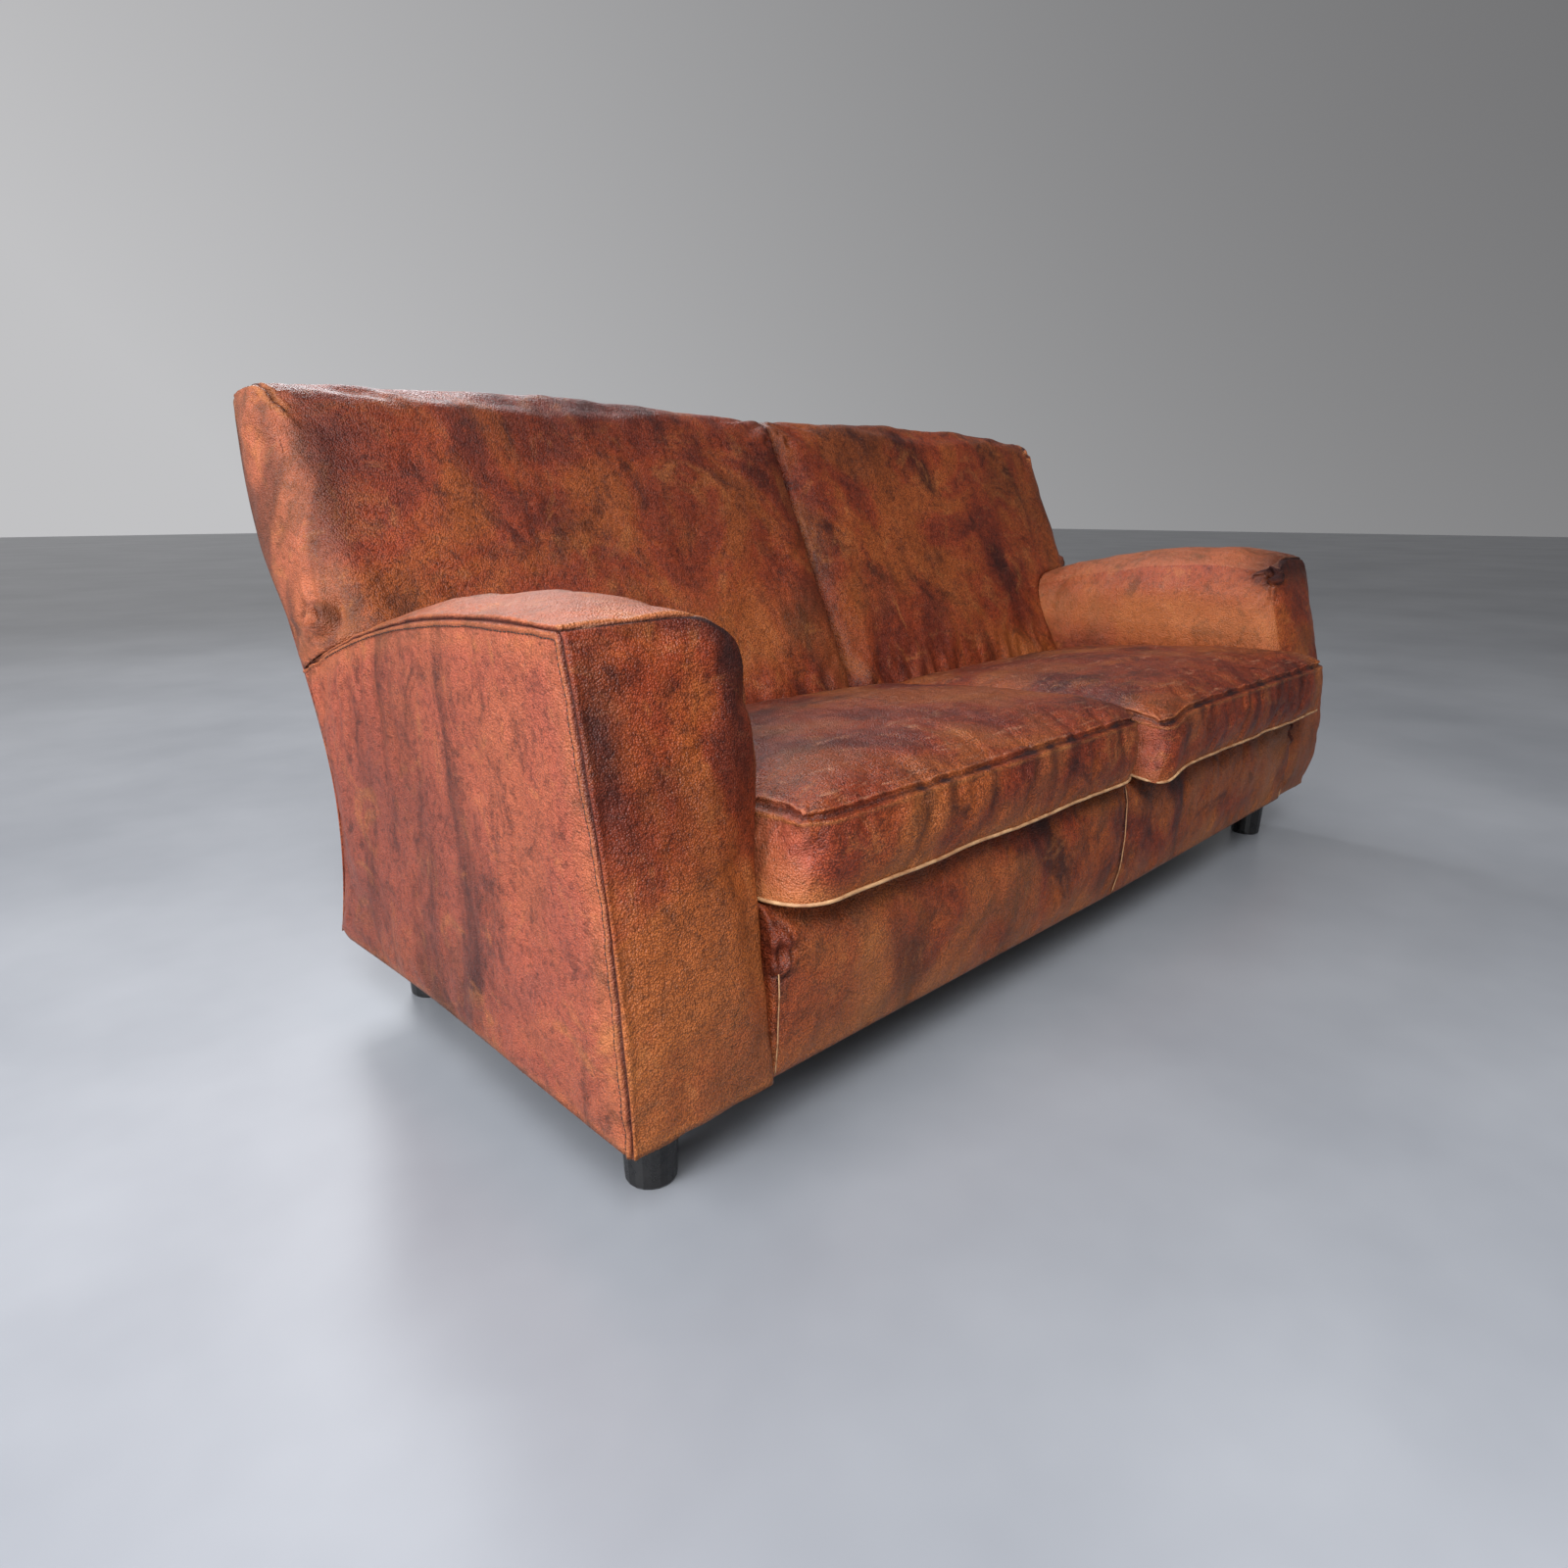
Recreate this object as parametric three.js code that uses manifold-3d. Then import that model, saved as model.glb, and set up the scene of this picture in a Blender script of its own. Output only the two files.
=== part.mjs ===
// A two-seat leather sofa with padded arms, two tall fixed back units that run out over the arms,
// and two loose seat cushions, on a hardwood frame with four turned feet.
// Millimetres. +X runs along the sofa, +Y to its back, +Z up; the origin is on the floor, under the middle.
import * as THREE from "three";
import { mergeVertices } from "three/addons/utils/BufferGeometryUtils.js";
import Module from "manifold-3d";

const wasm = await Module();
wasm.setup();

// ---- Driving dimensions ----------------------------------------------------------------------

const GAP = 0.3; // clearance between pieces that touch
const SPARE = 30; // extra length of a form that is trimmed afterwards
const LEATHER = 3; // leather with its wadding
const SKIN = LEATHER + GAP; // how far padding stays in from the outside

const HALF_WIDTH = 934; // outer side of an arm at its front
const REAR_TAPER = 14; // how far the side has come in at the rear
const HEM_Z = 116; // bottom edge of the leather
const INNER_LOW = 745; // inner side of an arm, at the apron
const INNER_HIGH = 706; // inner side of an arm, above the seat
const ARM_LENGTH = 690;

const BACK_TOP = 864;
const BACK_END = 917;
const BACK_FOOT = 300; // lower edge of the back covers, behind the seat cushions
const PANEL_TOP = 836; // top edge of the outside back panel

const SEAT_FRONT = -428;
const SEAT_SLIDE = 20; // the right-hand cushion has crept this far forward
const SEAT_HALF = 703; // outer end of a seat cushion
const SEAT_BOTTOM = 317; // underside of a cushion at its front edge
const SEAT_THICK = 104;
const SEAT_PITCH = 0.0535; // fall of the seat towards the back, per mm

const RAIL_Z = 122; // underside of the wooden frame
const BOARD = 25; // thickness of the main frame boards
const FRONT_RAIL_TOP = 286;
const REAR_RAIL_TOP = 262;
const ARM_FRAME_X = 790; // inner edge of the boards inside an arm
const POST_X = 680; // middle of the outer back posts
const TOP_RAIL_TOP = 815;
const FRONT_RAIL_Y = -361.7; // front face of the front rail
const ARM_POST_X = [850, 895]; // the posts inside an arm, side to side

const FEET = { front: { x: 841, y: -297 }, rear: { x: 812, y: 282 } };
const FOOT_TOP_R = 34;
const FOOT_BOTTOM_R = 29;
const BOLT_R = 4;
const BORE_FLOOR = 70; // where the bolt's hole ends inside a foot

// ---- Profiles of the sofa --------------------------------------------------------------------

const { lerp, smoothstep, clamp } = THREE.MathUtils;

// Rear face, hollow low down and flaring back behind the shoulders.
function rearY(z) {
  const waist = { y: 285, z: 305 };
  if (z < waist.z) return waist.y + 44 * ((waist.z - z) / 193) ** 2;
  return waist.y + 163 * smoothstep(z, waist.z, 775);
}

// Front face of the back units, raked 25 degrees.
function backFrontY(z) {
  return 138 + 0.478 * (z - 374);
}

// End of a back unit, which swells a little above the arm.
function backEndX(z) {
  return BACK_END + 8 * smoothstep(z, 540, 660);
}

// Front face of an arm, leaning back towards the top.
function armFrontY(z) {
  return -397 + 71 * clamp((z - 119) / 488, 0, 1.1) ** 1.65;
}

// Outer top edge of an arm, level in front and falling to the back.
function armTopZ(y) {
  return 608 - 90 * clamp((y + 284) / 567, 0, 1.2) ** 2.3;
}

function armOuterX(y) {
  return HALF_WIDTH - REAR_TAPER * smoothstep(y, -400, 100);
}

function armInnerX(z) {
  return lerp(INNER_LOW, INNER_HIGH, smoothstep(z, 300, 465));
}

// Underside of the seat cushions, and the deck that they lie on.
function seatBottomZ(y) {
  return SEAT_BOTTOM - SEAT_PITCH * (y - SEAT_FRONT);
}

// ---- Solids ----------------------------------------------------------------------------------

function toManifold(geometry) {
  const plain = geometry.clone();
  plain.deleteAttribute("normal");
  plain.deleteAttribute("uv");
  const merged = mergeVertices(plain, 1e-3);
  return new wasm.Manifold(
    new wasm.Mesh({
      numProp: 3,
      vertProperties: merged.attributes.position.array,
      triVerts: new Uint32Array(merged.index.array),
    }),
  );
}

function toGeometry(solid) {
  const mesh = solid.getMesh();
  const geometry = new THREE.BufferGeometry();
  geometry.setAttribute("position", new THREE.BufferAttribute(mesh.vertProperties, 3));
  geometry.setIndex(new THREE.BufferAttribute(mesh.triVerts, 1));
  return geometry;
}

function block(x, y, z) {
  const geometry = new THREE.BoxGeometry(x[1] - x[0], y[1] - y[0], z[1] - z[0]);
  return geometry.translate((x[0] + x[1]) / 2, (y[0] + y[1]) / 2, (z[0] + z[1]) / 2);
}

// A (y, z) outline carried along X from one end to the other.
function alongX(points, x) {
  const outline = new THREE.Shape(points.map(([y, z]) => new THREE.Vector2(y, z)));
  const geometry = new THREE.ExtrudeGeometry(outline, { depth: x[1] - x[0], bevelEnabled: false });
  const turn = new THREE.Matrix4().set(0, 0, 1, x[0], 1, 0, 0, 0, 0, 1, 0, 0, 0, 0, 0, 1);
  return geometry.applyMatrix4(turn);
}

// An (x, y) outline, with round holes, carried up from z[0] to z[1].
function alongZ(points, z, holes = []) {
  const outline = new THREE.Shape(points.map(([x, y]) => new THREE.Vector2(x, y)));
  for (const hole of holes) {
    const path = new THREE.Path();
    path.absarc(hole.x, hole.y, hole.r, 0, 2 * Math.PI, true);
    outline.holes.push(path);
  }
  const options = { depth: z[1] - z[0], bevelEnabled: false, curveSegments: 6 };
  return new THREE.ExtrudeGeometry(outline, options).translate(0, 0, z[0]);
}

function rectangle(x, y) {
  return [[x[0], y[0]], [x[1], y[0]], [x[1], y[1]], [x[0], y[1]]];
}

function mirrored(geometry) {
  const copy = geometry.index ? geometry.toNonIndexed() : geometry.clone();
  copy.scale(-1, 1, 1);
  const position = copy.getAttribute("position");
  const a = new THREE.Vector3();
  const b = new THREE.Vector3();
  for (let i = 0; i < position.count; i += 3) {
    a.fromBufferAttribute(position, i + 1);
    b.fromBufferAttribute(position, i + 2);
    position.setXYZ(i + 1, b.x, b.y, b.z);
    position.setXYZ(i + 2, a.x, a.y, a.z);
  }
  return copy;
}

// Distances from one end of a side at which a soft form has its vertices: close at the rounded
// ends, even between them.
function stations(length, first, last, middle) {
  const list = [0];
  if (first > 0) list.push(first * 0.35, first);
  for (let i = 1; i < middle; i += 1) {
    list.push(lerp(first, length - last, i / middle));
  }
  if (last > 0) list.push(length - last, length - last * 0.35);
  list.push(length);
  return list;
}

// Rounds the corner between two faces, given the distances from each.
function roundCorner(a, b, radius) {
  const u = radius - a;
  const v = radius - b;
  if (u <= 0 || v <= 0) return [a, b];
  const scale = Math.max(u, v) / Math.hypot(u, v);
  return [radius - u * scale, radius - v * scale];
}

// A closed grid over a box; place() takes the three distances from its low corner to a point.
function softForm(xs, ys, zs, place) {
  const counts = [xs.length - 1, ys.length - 1, zs.length - 1];
  const geometry = new THREE.BoxGeometry(1, 1, 1, ...counts);
  const position = geometry.getAttribute("position");
  const at = (list, value) => list[Math.round((value + 0.5) * (list.length - 1))];
  for (let i = 0; i < position.count; i += 1) {
    const point = place(
      at(xs, position.getX(i)),
      at(ys, position.getY(i)),
      at(zs, position.getZ(i)),
    );
    position.setXYZ(i, ...point);
  }
  return geometry;
}

// The right arm's outline, moved in by the inset, with some length to spare below and behind.
function armForm(inset) {
  const size = { x: 190, y: ARM_LENGTH, z: 490 };
  const inner = Math.max(72 - inset, 6);
  const front = Math.max(40 - inset, 6);
  const edge = Math.max(10 - inset, 2);
  // Counted from the inner side, the front and the bottom.
  const xs = stations(size.x, inner, edge, 2);
  const ys = stations(size.y, front, 0, 6);
  const zs = [-SPARE, ...stations(size.z, 0, inner, 4)];
  return softForm(xs, ys, zs, (dx, dy, dz) => {
    let fromInner = dx;
    let fromFront = dy;
    let fromTop = size.z - dz;
    [fromInner, fromTop] = roundCorner(fromInner, fromTop, inner);
    // The front corner is square beside the apron and rounds off above it.
    const squareLow = lerp(0.15, 1, smoothstep(dz, 170, 330));
    [fromInner, fromFront] = roundCorner(fromInner, fromFront, front * squareLow);
    [fromTop, fromFront] = roundCorner(fromTop, fromFront, edge);
    const across = fromInner / size.x;
    const along = fromFront / size.y;
    const up = 1 - fromTop / size.z;
    const crown = 14 * Math.sin(Math.PI * across);
    const yAt = (z) => lerp(armFrontY(z) + inset, rearY(Math.max(z, HEM_Z)) + SPARE, along);
    let z = dz < 0 ? HEM_Z + dz : lerp(HEM_Z, 600, up);
    for (let round = 0; dz >= 0 && round < 4; round += 1) {
      z = lerp(HEM_Z, armTopZ(yAt(z)) + crown - inset, up);
    }
    const y = yAt(z);
    const x = lerp(armInnerX(z) + inset, armOuterX(y) - inset, across);
    return [x, y, z];
  });
}

const MIDDLE_ROUND = 22; // front corner of a back unit beside the other unit
const END_ROUND = { x: 58, y: 42 }; // front corner at the sofa's end

// A back unit from the sofa's middle out to its end, moved in by the inset.
function backForm(inset) {
  const size = { x: BACK_END - 2, y: 120, z: 560 };
  const round = Math.max(44 - inset, 6);
  const xs = stations(size.x, MIDDLE_ROUND, END_ROUND.x, 4);
  const endScale = END_ROUND.x / END_ROUND.y;
  const ys = stations(size.y, round, round, 1);
  const zs = [-SPARE, ...stations(size.z, 0, round, 4)];
  return softForm(xs, ys, zs, (dx, dy, dz) => {
    let fromFront = dy;
    let fromRear = size.y - dy;
    let fromTop = size.z - dz;
    let fromEnd = (size.x - dx) / endScale;
    let fromMiddle = dx;
    [fromTop, fromFront] = roundCorner(fromTop, fromFront, round);
    [fromTop, fromRear] = roundCorner(fromTop, size.y - fromFront, round);
    fromFront = size.y - fromRear;
    [fromFront, fromEnd] = roundCorner(fromFront, fromEnd, END_ROUND.y);
    fromMiddle = size.x - fromEnd * endScale;
    [fromFront, fromMiddle] = roundCorner(fromFront, fromMiddle, MIDDLE_ROUND);
    const across = fromMiddle / size.x;
    const through = fromFront / size.y;
    const up = 1 - fromTop / size.z;
    const crown = 18 * Math.sin(Math.PI * across) - 8;
    const z = dz < 0 ? BACK_FOOT + dz : lerp(BACK_FOOT, BACK_TOP + crown - inset, up);
    const y = lerp(backFrontY(z) + inset, rearY(z) - inset, through);
    const x = lerp(2 + inset, backEndX(z) - inset, across);
    return [x, y, z];
  });
}

// A boxed seat cushion on the right-hand side, crowned on top and cut to the rake of the back.
function cushionForm(inset, detail) {
  const size = { x: SEAT_HALF - 2, y: 540, z: SEAT_THICK };
  const round = Math.max(20 - inset, 8);
  const xs = stations(size.x, round, round, detail);
  const ys = stations(size.y, round, round, detail);
  const zs = stations(size.z, round, round, 1);
  return softForm(xs, ys, zs, (dx, dy, dz) => {
    let fromFront = dy;
    let fromTop = size.z - dz;
    let fromEnd = dx;
    let fromOther = size.x - dx;
    [fromFront, fromTop] = roundCorner(fromFront, fromTop, round);
    [fromFront, fromEnd] = roundCorner(fromFront, fromEnd, round);
    [fromFront, fromOther] = roundCorner(fromFront, fromOther, round);
    const across = fromEnd > round ? 1 - fromOther / size.x : fromEnd / size.x;
    const along = fromFront / size.y;
    const up = 1 - fromTop / size.z;
    const rear = 100 - inset + 14 * up;
    const y = lerp(SEAT_FRONT + inset, rear, along);
    const crown = 16 * Math.sin(Math.PI * across) * Math.sin(Math.PI * along);
    const thick = lerp(SEAT_THICK, SEAT_THICK - 12, along) - 2 * inset + crown * up;
    const z = seatBottomZ(y) + inset + thick * up;
    const x = lerp(2 + inset, SEAT_HALF - inset, across);
    return [x, y, z];
  });
}

// ---- Wooden frame ----------------------------------------------------------------------------

// The strip that follows the rear face between two heights, at two depths in from it.
function rearStrip(z, depth, steps) {
  const heights = Array.from({ length: steps + 1 }, (_, i) => lerp(z[0], z[1], i / steps));
  const outside = heights.map((h) => [rearY(h) - depth[0], h]);
  const inside = heights.map((h) => [rearY(h) - depth[1], h]);
  return [...outside, ...inside.reverse()];
}

const POST_FRONT = 235.3; // front face of the back posts below the waist
const POST_DEPTH = [8, 50]; // back posts, in from the rear face
const POST_TOP = 790;

function backPost(x) {
  const strip = rearStrip([305, POST_TOP], POST_DEPTH, 8);
  const upright = rearStrip([RAIL_Z, 280], [POST_DEPTH[0], 0], 2).slice(0, 3);
  return alongX([[POST_FRONT, RAIL_Z], ...upright, ...strip], x);
}

// A board inside an arm that follows its top edge, at two depths below it.
function armTopBoard() {
  const ys = [-290, -160, -30, 100, 230];
  const top = ys.map((y) => [y, armTopZ(y) - 34]);
  const bottom = ys.map((y) => [y, armTopZ(y) - 52]);
  return alongX([...bottom, ...top.reverse()], [800, 895]);
}

// The thin board behind the side leather.
function armSideBoard() {
  const ys = [-290, -160, -30, 100, 225];
  const top = ys.map((y) => [y, armTopZ(y) - 53]);
  return alongX([...top.reverse(), [-340, 144], [262, 144]], [899, 904]);
}

function armBase() {
  const holes = Object.values(FEET).map(({ x, y }) => ({ x, y, r: BOLT_R + GAP }));
  return alongZ(rectangle([ARM_FRAME_X, 898], [-340, 308]), [RAIL_Z, RAIL_Z + BOARD], holes);
}

function armFrontPost() {
  return block(ARM_POST_X, [-290, -245], [RAIL_Z + BOARD + GAP, armTopZ(-290) - 53]);
}

function armRearPost() {
  return block(ARM_POST_X, [190, 228], [RAIL_Z + BOARD + GAP, armTopZ(228) - 53]);
}

// A flat gusset fixed to the outer post, carrying the part of the back that is over the arm.
function wingBoard() {
  return alongX(rearStrip([610, POST_TOP], [16, 31], 4), [POST_X + 15 + GAP, 886]);
}

// ---- Springs, straps, feet -------------------------------------------------------------------

// A sinuous spring from the front rail to the rear rail.
function seatSpring(x) {
  const wire = 1.9;
  const waves = 6;
  const start = { y: -352, z: FRONT_RAIL_TOP + wire + GAP };
  const end = { y: 222, z: REAR_RAIL_TOP + wire + GAP };
  class Zigzag extends THREE.Curve {
    getPoint(t, target = new THREE.Vector3()) {
      const fade = Math.min(1, t * 12, (1 - t) * 12);
      const swing = 24 * fade * Math.sin(2 * Math.PI * waves * t);
      const arch = 6 * Math.sin(Math.PI * t);
      return target.set(x + swing, lerp(start.y, end.y, t), lerp(start.z, end.z, t) + arch);
    }
  }
  const round = new THREE.Shape();
  round.absarc(0, 0, wire, 0, 2 * Math.PI, false);
  const options = { steps: waves * 5, curveSegments: 2, extrudePath: new Zigzag() };
  return new THREE.ExtrudeGeometry(round, options);
}

function backStrap(x, z) {
  const depth = [POST_DEPTH[1] + 2, POST_DEPTH[1] + 4];
  return alongX(rearStrip([z - 30, z + 30], depth, 2), x);
}

function turned(profile, x, y) {
  const points = profile.map(([r, z]) => new THREE.Vector2(r, z));
  const geometry = new THREE.LatheGeometry(points, 20);
  return geometry.rotateX(Math.PI / 2).translate(x, y, 0);
}

function foot(x, y) {
  const top = RAIL_Z - GAP;
  const bore = BOLT_R + GAP;
  const profile = [
    [0, 0],
    [FOOT_BOTTOM_R - 2, 0],
    [FOOT_BOTTOM_R, 3],
    [FOOT_TOP_R, top],
    [bore, top],
    [bore, BORE_FLOOR],
    [0, BORE_FLOOR],
  ];
  return turned(profile, x, y);
}

function footBolt(x, y) {
  const tip = BORE_FLOOR + 2;
  const profile = [
    [0, tip],
    [BOLT_R, tip],
    [BOLT_R, RAIL_Z + BOARD + 1],
    [9, RAIL_Z + BOARD + 1],
    [9, RAIL_Z + BOARD + 5],
    [0, RAIL_Z + BOARD + 5],
  ];
  return turned(profile, x, y);
}

// ---- Upholstery ------------------------------------------------------------------------------

// The outside back panel and everything behind it, thickened inwards by a margin.
function behindPanel(margin) {
  return toManifold(alongX(rearStrip([60, PANEL_TOP + GAP], [-90, LEATHER + margin], 15), [0, 990]));
}

function below(z) {
  return toManifold(block([-10, 990], [-500, 500], [-10, z]));
}

function insetArm(inset) {
  return toManifold(armForm(inset));
}

// Where the seat rails pass through the inner side of an arm.
function railOpening() {
  return toManifold(block([700, ARM_FRAME_X], [-362, 420], [60, 299]));
}

function armCover() {
  const shell = insetArm(0).subtract(insetArm(LEATHER));
  return toGeometry(shell.subtract(below(HEM_Z)).subtract(behindPanel(GAP)).subtract(railOpening()));
}

// The room for the boards inside an arm.
function armFrameTool() {
  const ys = [-309, -250, -160, -30, 100, 200, 420];
  const top = ys.map((y) => [y, armTopZ(y) - 32]);
  return toManifold(alongX([...top.reverse(), [-368, 280], [-368, 60], [420, 60]], [785, 907]));
}

function armFoam() {
  const padding = insetArm(SKIN).subtract(armFrameTool());
  return toGeometry(padding.subtract(below(RAIL_Z)).subtract(behindPanel(GAP)).subtract(railOpening()));
}

function insetBack(inset) {
  return toManifold(backForm(inset));
}

// The room for the back frame, out to the given distance from the middle.
function backFrameTool(end) {
  const front = POST_DEPTH[1] + 5;
  const curve = rearStrip([372, 816], [-90, front], 12);
  const low = [[POST_FRONT - 27, 372], [POST_FRONT - 27, 260], [440, 260]];
  return toManifold(alongX([...curve, ...low], [-20, end]));
}

function backCover() {
  const outer = insetBack(0).subtract(insetArm(-2 * GAP));
  const hollow = insetBack(LEATHER).subtract(insetArm(-2 * GAP - LEATHER));
  const shell = outer.subtract(hollow).subtract(backFrameTool(BACK_END - LEATHER));
  return toGeometry(shell.subtract(below(BACK_FOOT)).subtract(behindPanel(LEATHER + 1)));
}

function backFoam() {
  const padding = insetBack(SKIN).subtract(insetArm(-2 * GAP - SKIN)).subtract(backFrameTool(888));
  return toGeometry(padding.subtract(below(BACK_FOOT)).subtract(behindPanel(GAP)));
}

function seatCover() {
  const zipSlot = toManifold(block([60, SEAT_HALF - 60], [60, 200], [324, 334]));
  const shell = toManifold(cushionForm(0, 4)).subtract(toManifold(cushionForm(LEATHER, 4)));
  return toGeometry(shell.subtract(zipSlot));
}

function seatFoam() {
  return cushionForm(SKIN + 0.5, 4);
}

// Front of the apron, from the hem up over the front rail to the seat deck.
const APRON = [[-388, HEM_Z], [-395, 160], [-398, 215], [-396, 272], [-388, 300], [-377, 312]];

function apronCover() {
  const inside = APRON.map(([y, z]) => [y + LEATHER, z - (z > 290 ? LEATHER : 0)]).slice(1);
  const outline = [...APRON, [-371, 313], [-371, 310], ...inside.reverse()];
  const hem = [[-384, HEM_Z + LEATHER - 0.5], [-340, HEM_Z + LEATHER - 0.5], [-340, HEM_Z]];
  return alongX([...outline, ...hem].reverse(), [-INNER_LOW + 1.5, INNER_LOW - 1.5]);
}

function apronFoam() {
  const front = APRON.slice(1, 5).map(([y, z]) => [y + SKIN, z - (z > 290 ? SKIN + 1 : 0)]);
  const outline = [[-388 + SKIN + 1, RAIL_Z], ...front, [-371, 304], [-362, 304], [-362, RAIL_Z]];
  return alongX(outline.reverse(), [-INNER_LOW + 4, INNER_LOW - 4]);
}

function seatDeck() {
  const top = (y) => seatBottomZ(y) - 0.8;
  const ends = [-361, 110];
  const outline = [
    [ends[0], top(ends[0]) - 8],
    [ends[1], top(ends[1]) - 8],
    [ends[1], top(ends[1])],
    [ends[0], top(ends[0])],
  ];
  return alongX(outline, [-INNER_LOW + 5, INNER_LOW - 5]);
}

function outsideBack() {
  return alongX(rearStrip([HEM_Z, PANEL_TOP], [0, LEATHER], 14), [-BACK_END + 1, BACK_END - 1]);
}

function dustCover() {
  const holes = [];
  for (const side of [-1, 1]) {
    for (const { x, y } of Object.values(FEET)) holes.push({ x: side * x, y, r: FOOT_TOP_R + 3 });
  }
  return alongZ(rectangle([-903, 903], [-336, 321.5]), [RAIL_Z - 1.8, RAIL_Z - GAP], holes);
}

// ---- Assembly --------------------------------------------------------------------------------

const FINISH = {
  leather: { color: 0x8a3f1c, roughness: 0.42, metalness: 0 },
  foam: { color: 0xe2d6a8, roughness: 0.95, metalness: 0 },
  wood: { color: 0xb98d5c, roughness: 0.7, metalness: 0 },
  board: { color: 0x9a7a55, roughness: 0.85, metalness: 0 },
  steel: { color: 0x9a9ca0, roughness: 0.35, metalness: 1 },
  webbing: { color: 0x2e2a26, roughness: 0.9, metalness: 0 },
  felt: { color: 0x8f8a80, roughness: 0.95, metalness: 0 },
  dust_cloth: { color: 0x141414, roughness: 0.95, metalness: 0 },
  foot: { color: 0x0d0d0d, roughness: 0.3, metalness: 0 },
};

const sofa = new THREE.Group();

function piece(name, finish, geometry) {
  const mesh = new THREE.Mesh(geometry, new THREE.MeshStandardMaterial(FINISH[finish]));
  mesh.name = name;
  sofa.add(mesh);
  return mesh;
}

// A piece on the right and its mirror image on the left.
function pair(name, finish, geometry) {
  piece(`right_${name}`, finish, geometry);
  piece(`left_${name}`, finish, mirrored(geometry));
}

const throughArms = [-ARM_FRAME_X + GAP, ARM_FRAME_X - GAP];
const frontRailY = [FRONT_RAIL_Y, FRONT_RAIL_Y + BOARD];
const rearRailY = [POST_FRONT - GAP - BOARD, POST_FRONT - GAP];

piece("front_rail", "wood", block(throughArms, frontRailY, [RAIL_Z, FRONT_RAIL_TOP]));
piece("rear_rail", "wood", block(throughArms, rearRailY, [RAIL_Z, REAR_RAIL_TOP]));
piece("centre_rail", "wood", block(
  [-BOARD / 2, BOARD / 2],
  [frontRailY[1] + GAP, rearRailY[0] - GAP],
  [RAIL_Z, RAIL_Z + 110],
));
piece("centre_back_post", "wood", backPost([-15, 15]));
pair("back_post", "wood", backPost([POST_X - 15, POST_X + 15]));
piece("back_lower_rail", "wood", block([-695, 695], rearRailY, [318, 368]));
piece("back_top_rail", "wood", block(
  [-886, 886],
  [rearY(TOP_RAIL_TOP) - POST_DEPTH[1], rearY(TOP_RAIL_TOP) - POST_DEPTH[0]],
  [POST_TOP + GAP, TOP_RAIL_TOP],
));
pair("wing_board", "board", wingBoard());
pair("arm_base", "wood", armBase());
pair("arm_front_post", "wood", armFrontPost());
pair("arm_rear_post", "wood", armRearPost());
pair("arm_top_board", "wood", armTopBoard());
pair("arm_side_board", "board", armSideBoard());

for (const [name, { x, y }] of Object.entries(FEET)) {
  pair(`${name}_foot`, "foot", foot(x, y));
  pair(`${name}_foot_bolt`, "steel", footBolt(x, y));
}

const springX = [95, 265, 435, 605];
springX.forEach((x, i) => pair(`seat_spring_${i + 1}`, "steel", seatSpring(x)));

const strapZ = [450, 580, 700];
strapZ.forEach((z, i) => pair(`back_strap_${i + 1}`, "webbing", backStrap([1, POST_X + 15], z)));

piece("seat_deck", "felt", seatDeck());
piece("dust_cover", "dust_cloth", dustCover());
piece("apron_foam", "foam", apronFoam());
piece("apron_cover", "leather", apronCover());
pair("arm_foam", "foam", armFoam());
pair("arm_cover", "leather", armCover());
pair("back_foam", "foam", backFoam());
pair("back_cover", "leather", backCover());
piece("outside_back", "leather", outsideBack());

const seatCoverForm = seatCover();
const seatFoamForm = seatFoam();
piece("left_seat_cover", "leather", mirrored(seatCoverForm));
piece("left_seat_foam", "foam", mirrored(seatFoamForm));
for (const [name, finish, form] of [["cover", "leather", seatCoverForm], ["foam", "foam", seatFoamForm]]) {
  const slid = piece(`right_seat_${name}`, finish, form);
  slid.position.set(0, -SEAT_SLIDE, SEAT_SLIDE * SEAT_PITCH);
}

export default sofa;
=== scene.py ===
"""The visual model of a worn two-seat leather sofa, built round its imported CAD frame.

Shapes are worked out in millimetres in the frame's axes: X along the sofa, Y to its back, Z up.
The arms, backs and seats are all built on the right side, and the left ones are then mirrored.
"""

import math
from functools import partial

import bpy
import numpy as np
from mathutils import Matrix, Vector
from mathutils.bvhtree import BVHTree


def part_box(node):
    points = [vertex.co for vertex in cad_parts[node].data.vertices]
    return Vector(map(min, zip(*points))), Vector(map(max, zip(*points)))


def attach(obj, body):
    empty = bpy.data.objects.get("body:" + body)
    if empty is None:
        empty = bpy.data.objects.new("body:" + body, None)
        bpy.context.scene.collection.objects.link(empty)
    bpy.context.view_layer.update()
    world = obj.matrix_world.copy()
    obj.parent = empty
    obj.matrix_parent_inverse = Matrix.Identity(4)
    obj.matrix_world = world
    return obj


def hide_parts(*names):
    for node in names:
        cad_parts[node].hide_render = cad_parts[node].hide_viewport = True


MM = 0.001
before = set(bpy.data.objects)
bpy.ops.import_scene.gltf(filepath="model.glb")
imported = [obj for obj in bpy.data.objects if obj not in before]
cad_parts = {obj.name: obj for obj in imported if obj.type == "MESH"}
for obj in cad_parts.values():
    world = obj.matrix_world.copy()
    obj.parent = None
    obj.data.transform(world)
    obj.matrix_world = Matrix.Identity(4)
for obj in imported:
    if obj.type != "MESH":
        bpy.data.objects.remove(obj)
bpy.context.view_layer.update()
scene = bpy.context.scene


def node_box(name):
    """The low and high corners of a CAD node, in millimetres."""
    low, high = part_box(name)
    return np.array(low) / MM, np.array(high) / MM


# ---- Sizes ----

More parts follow.
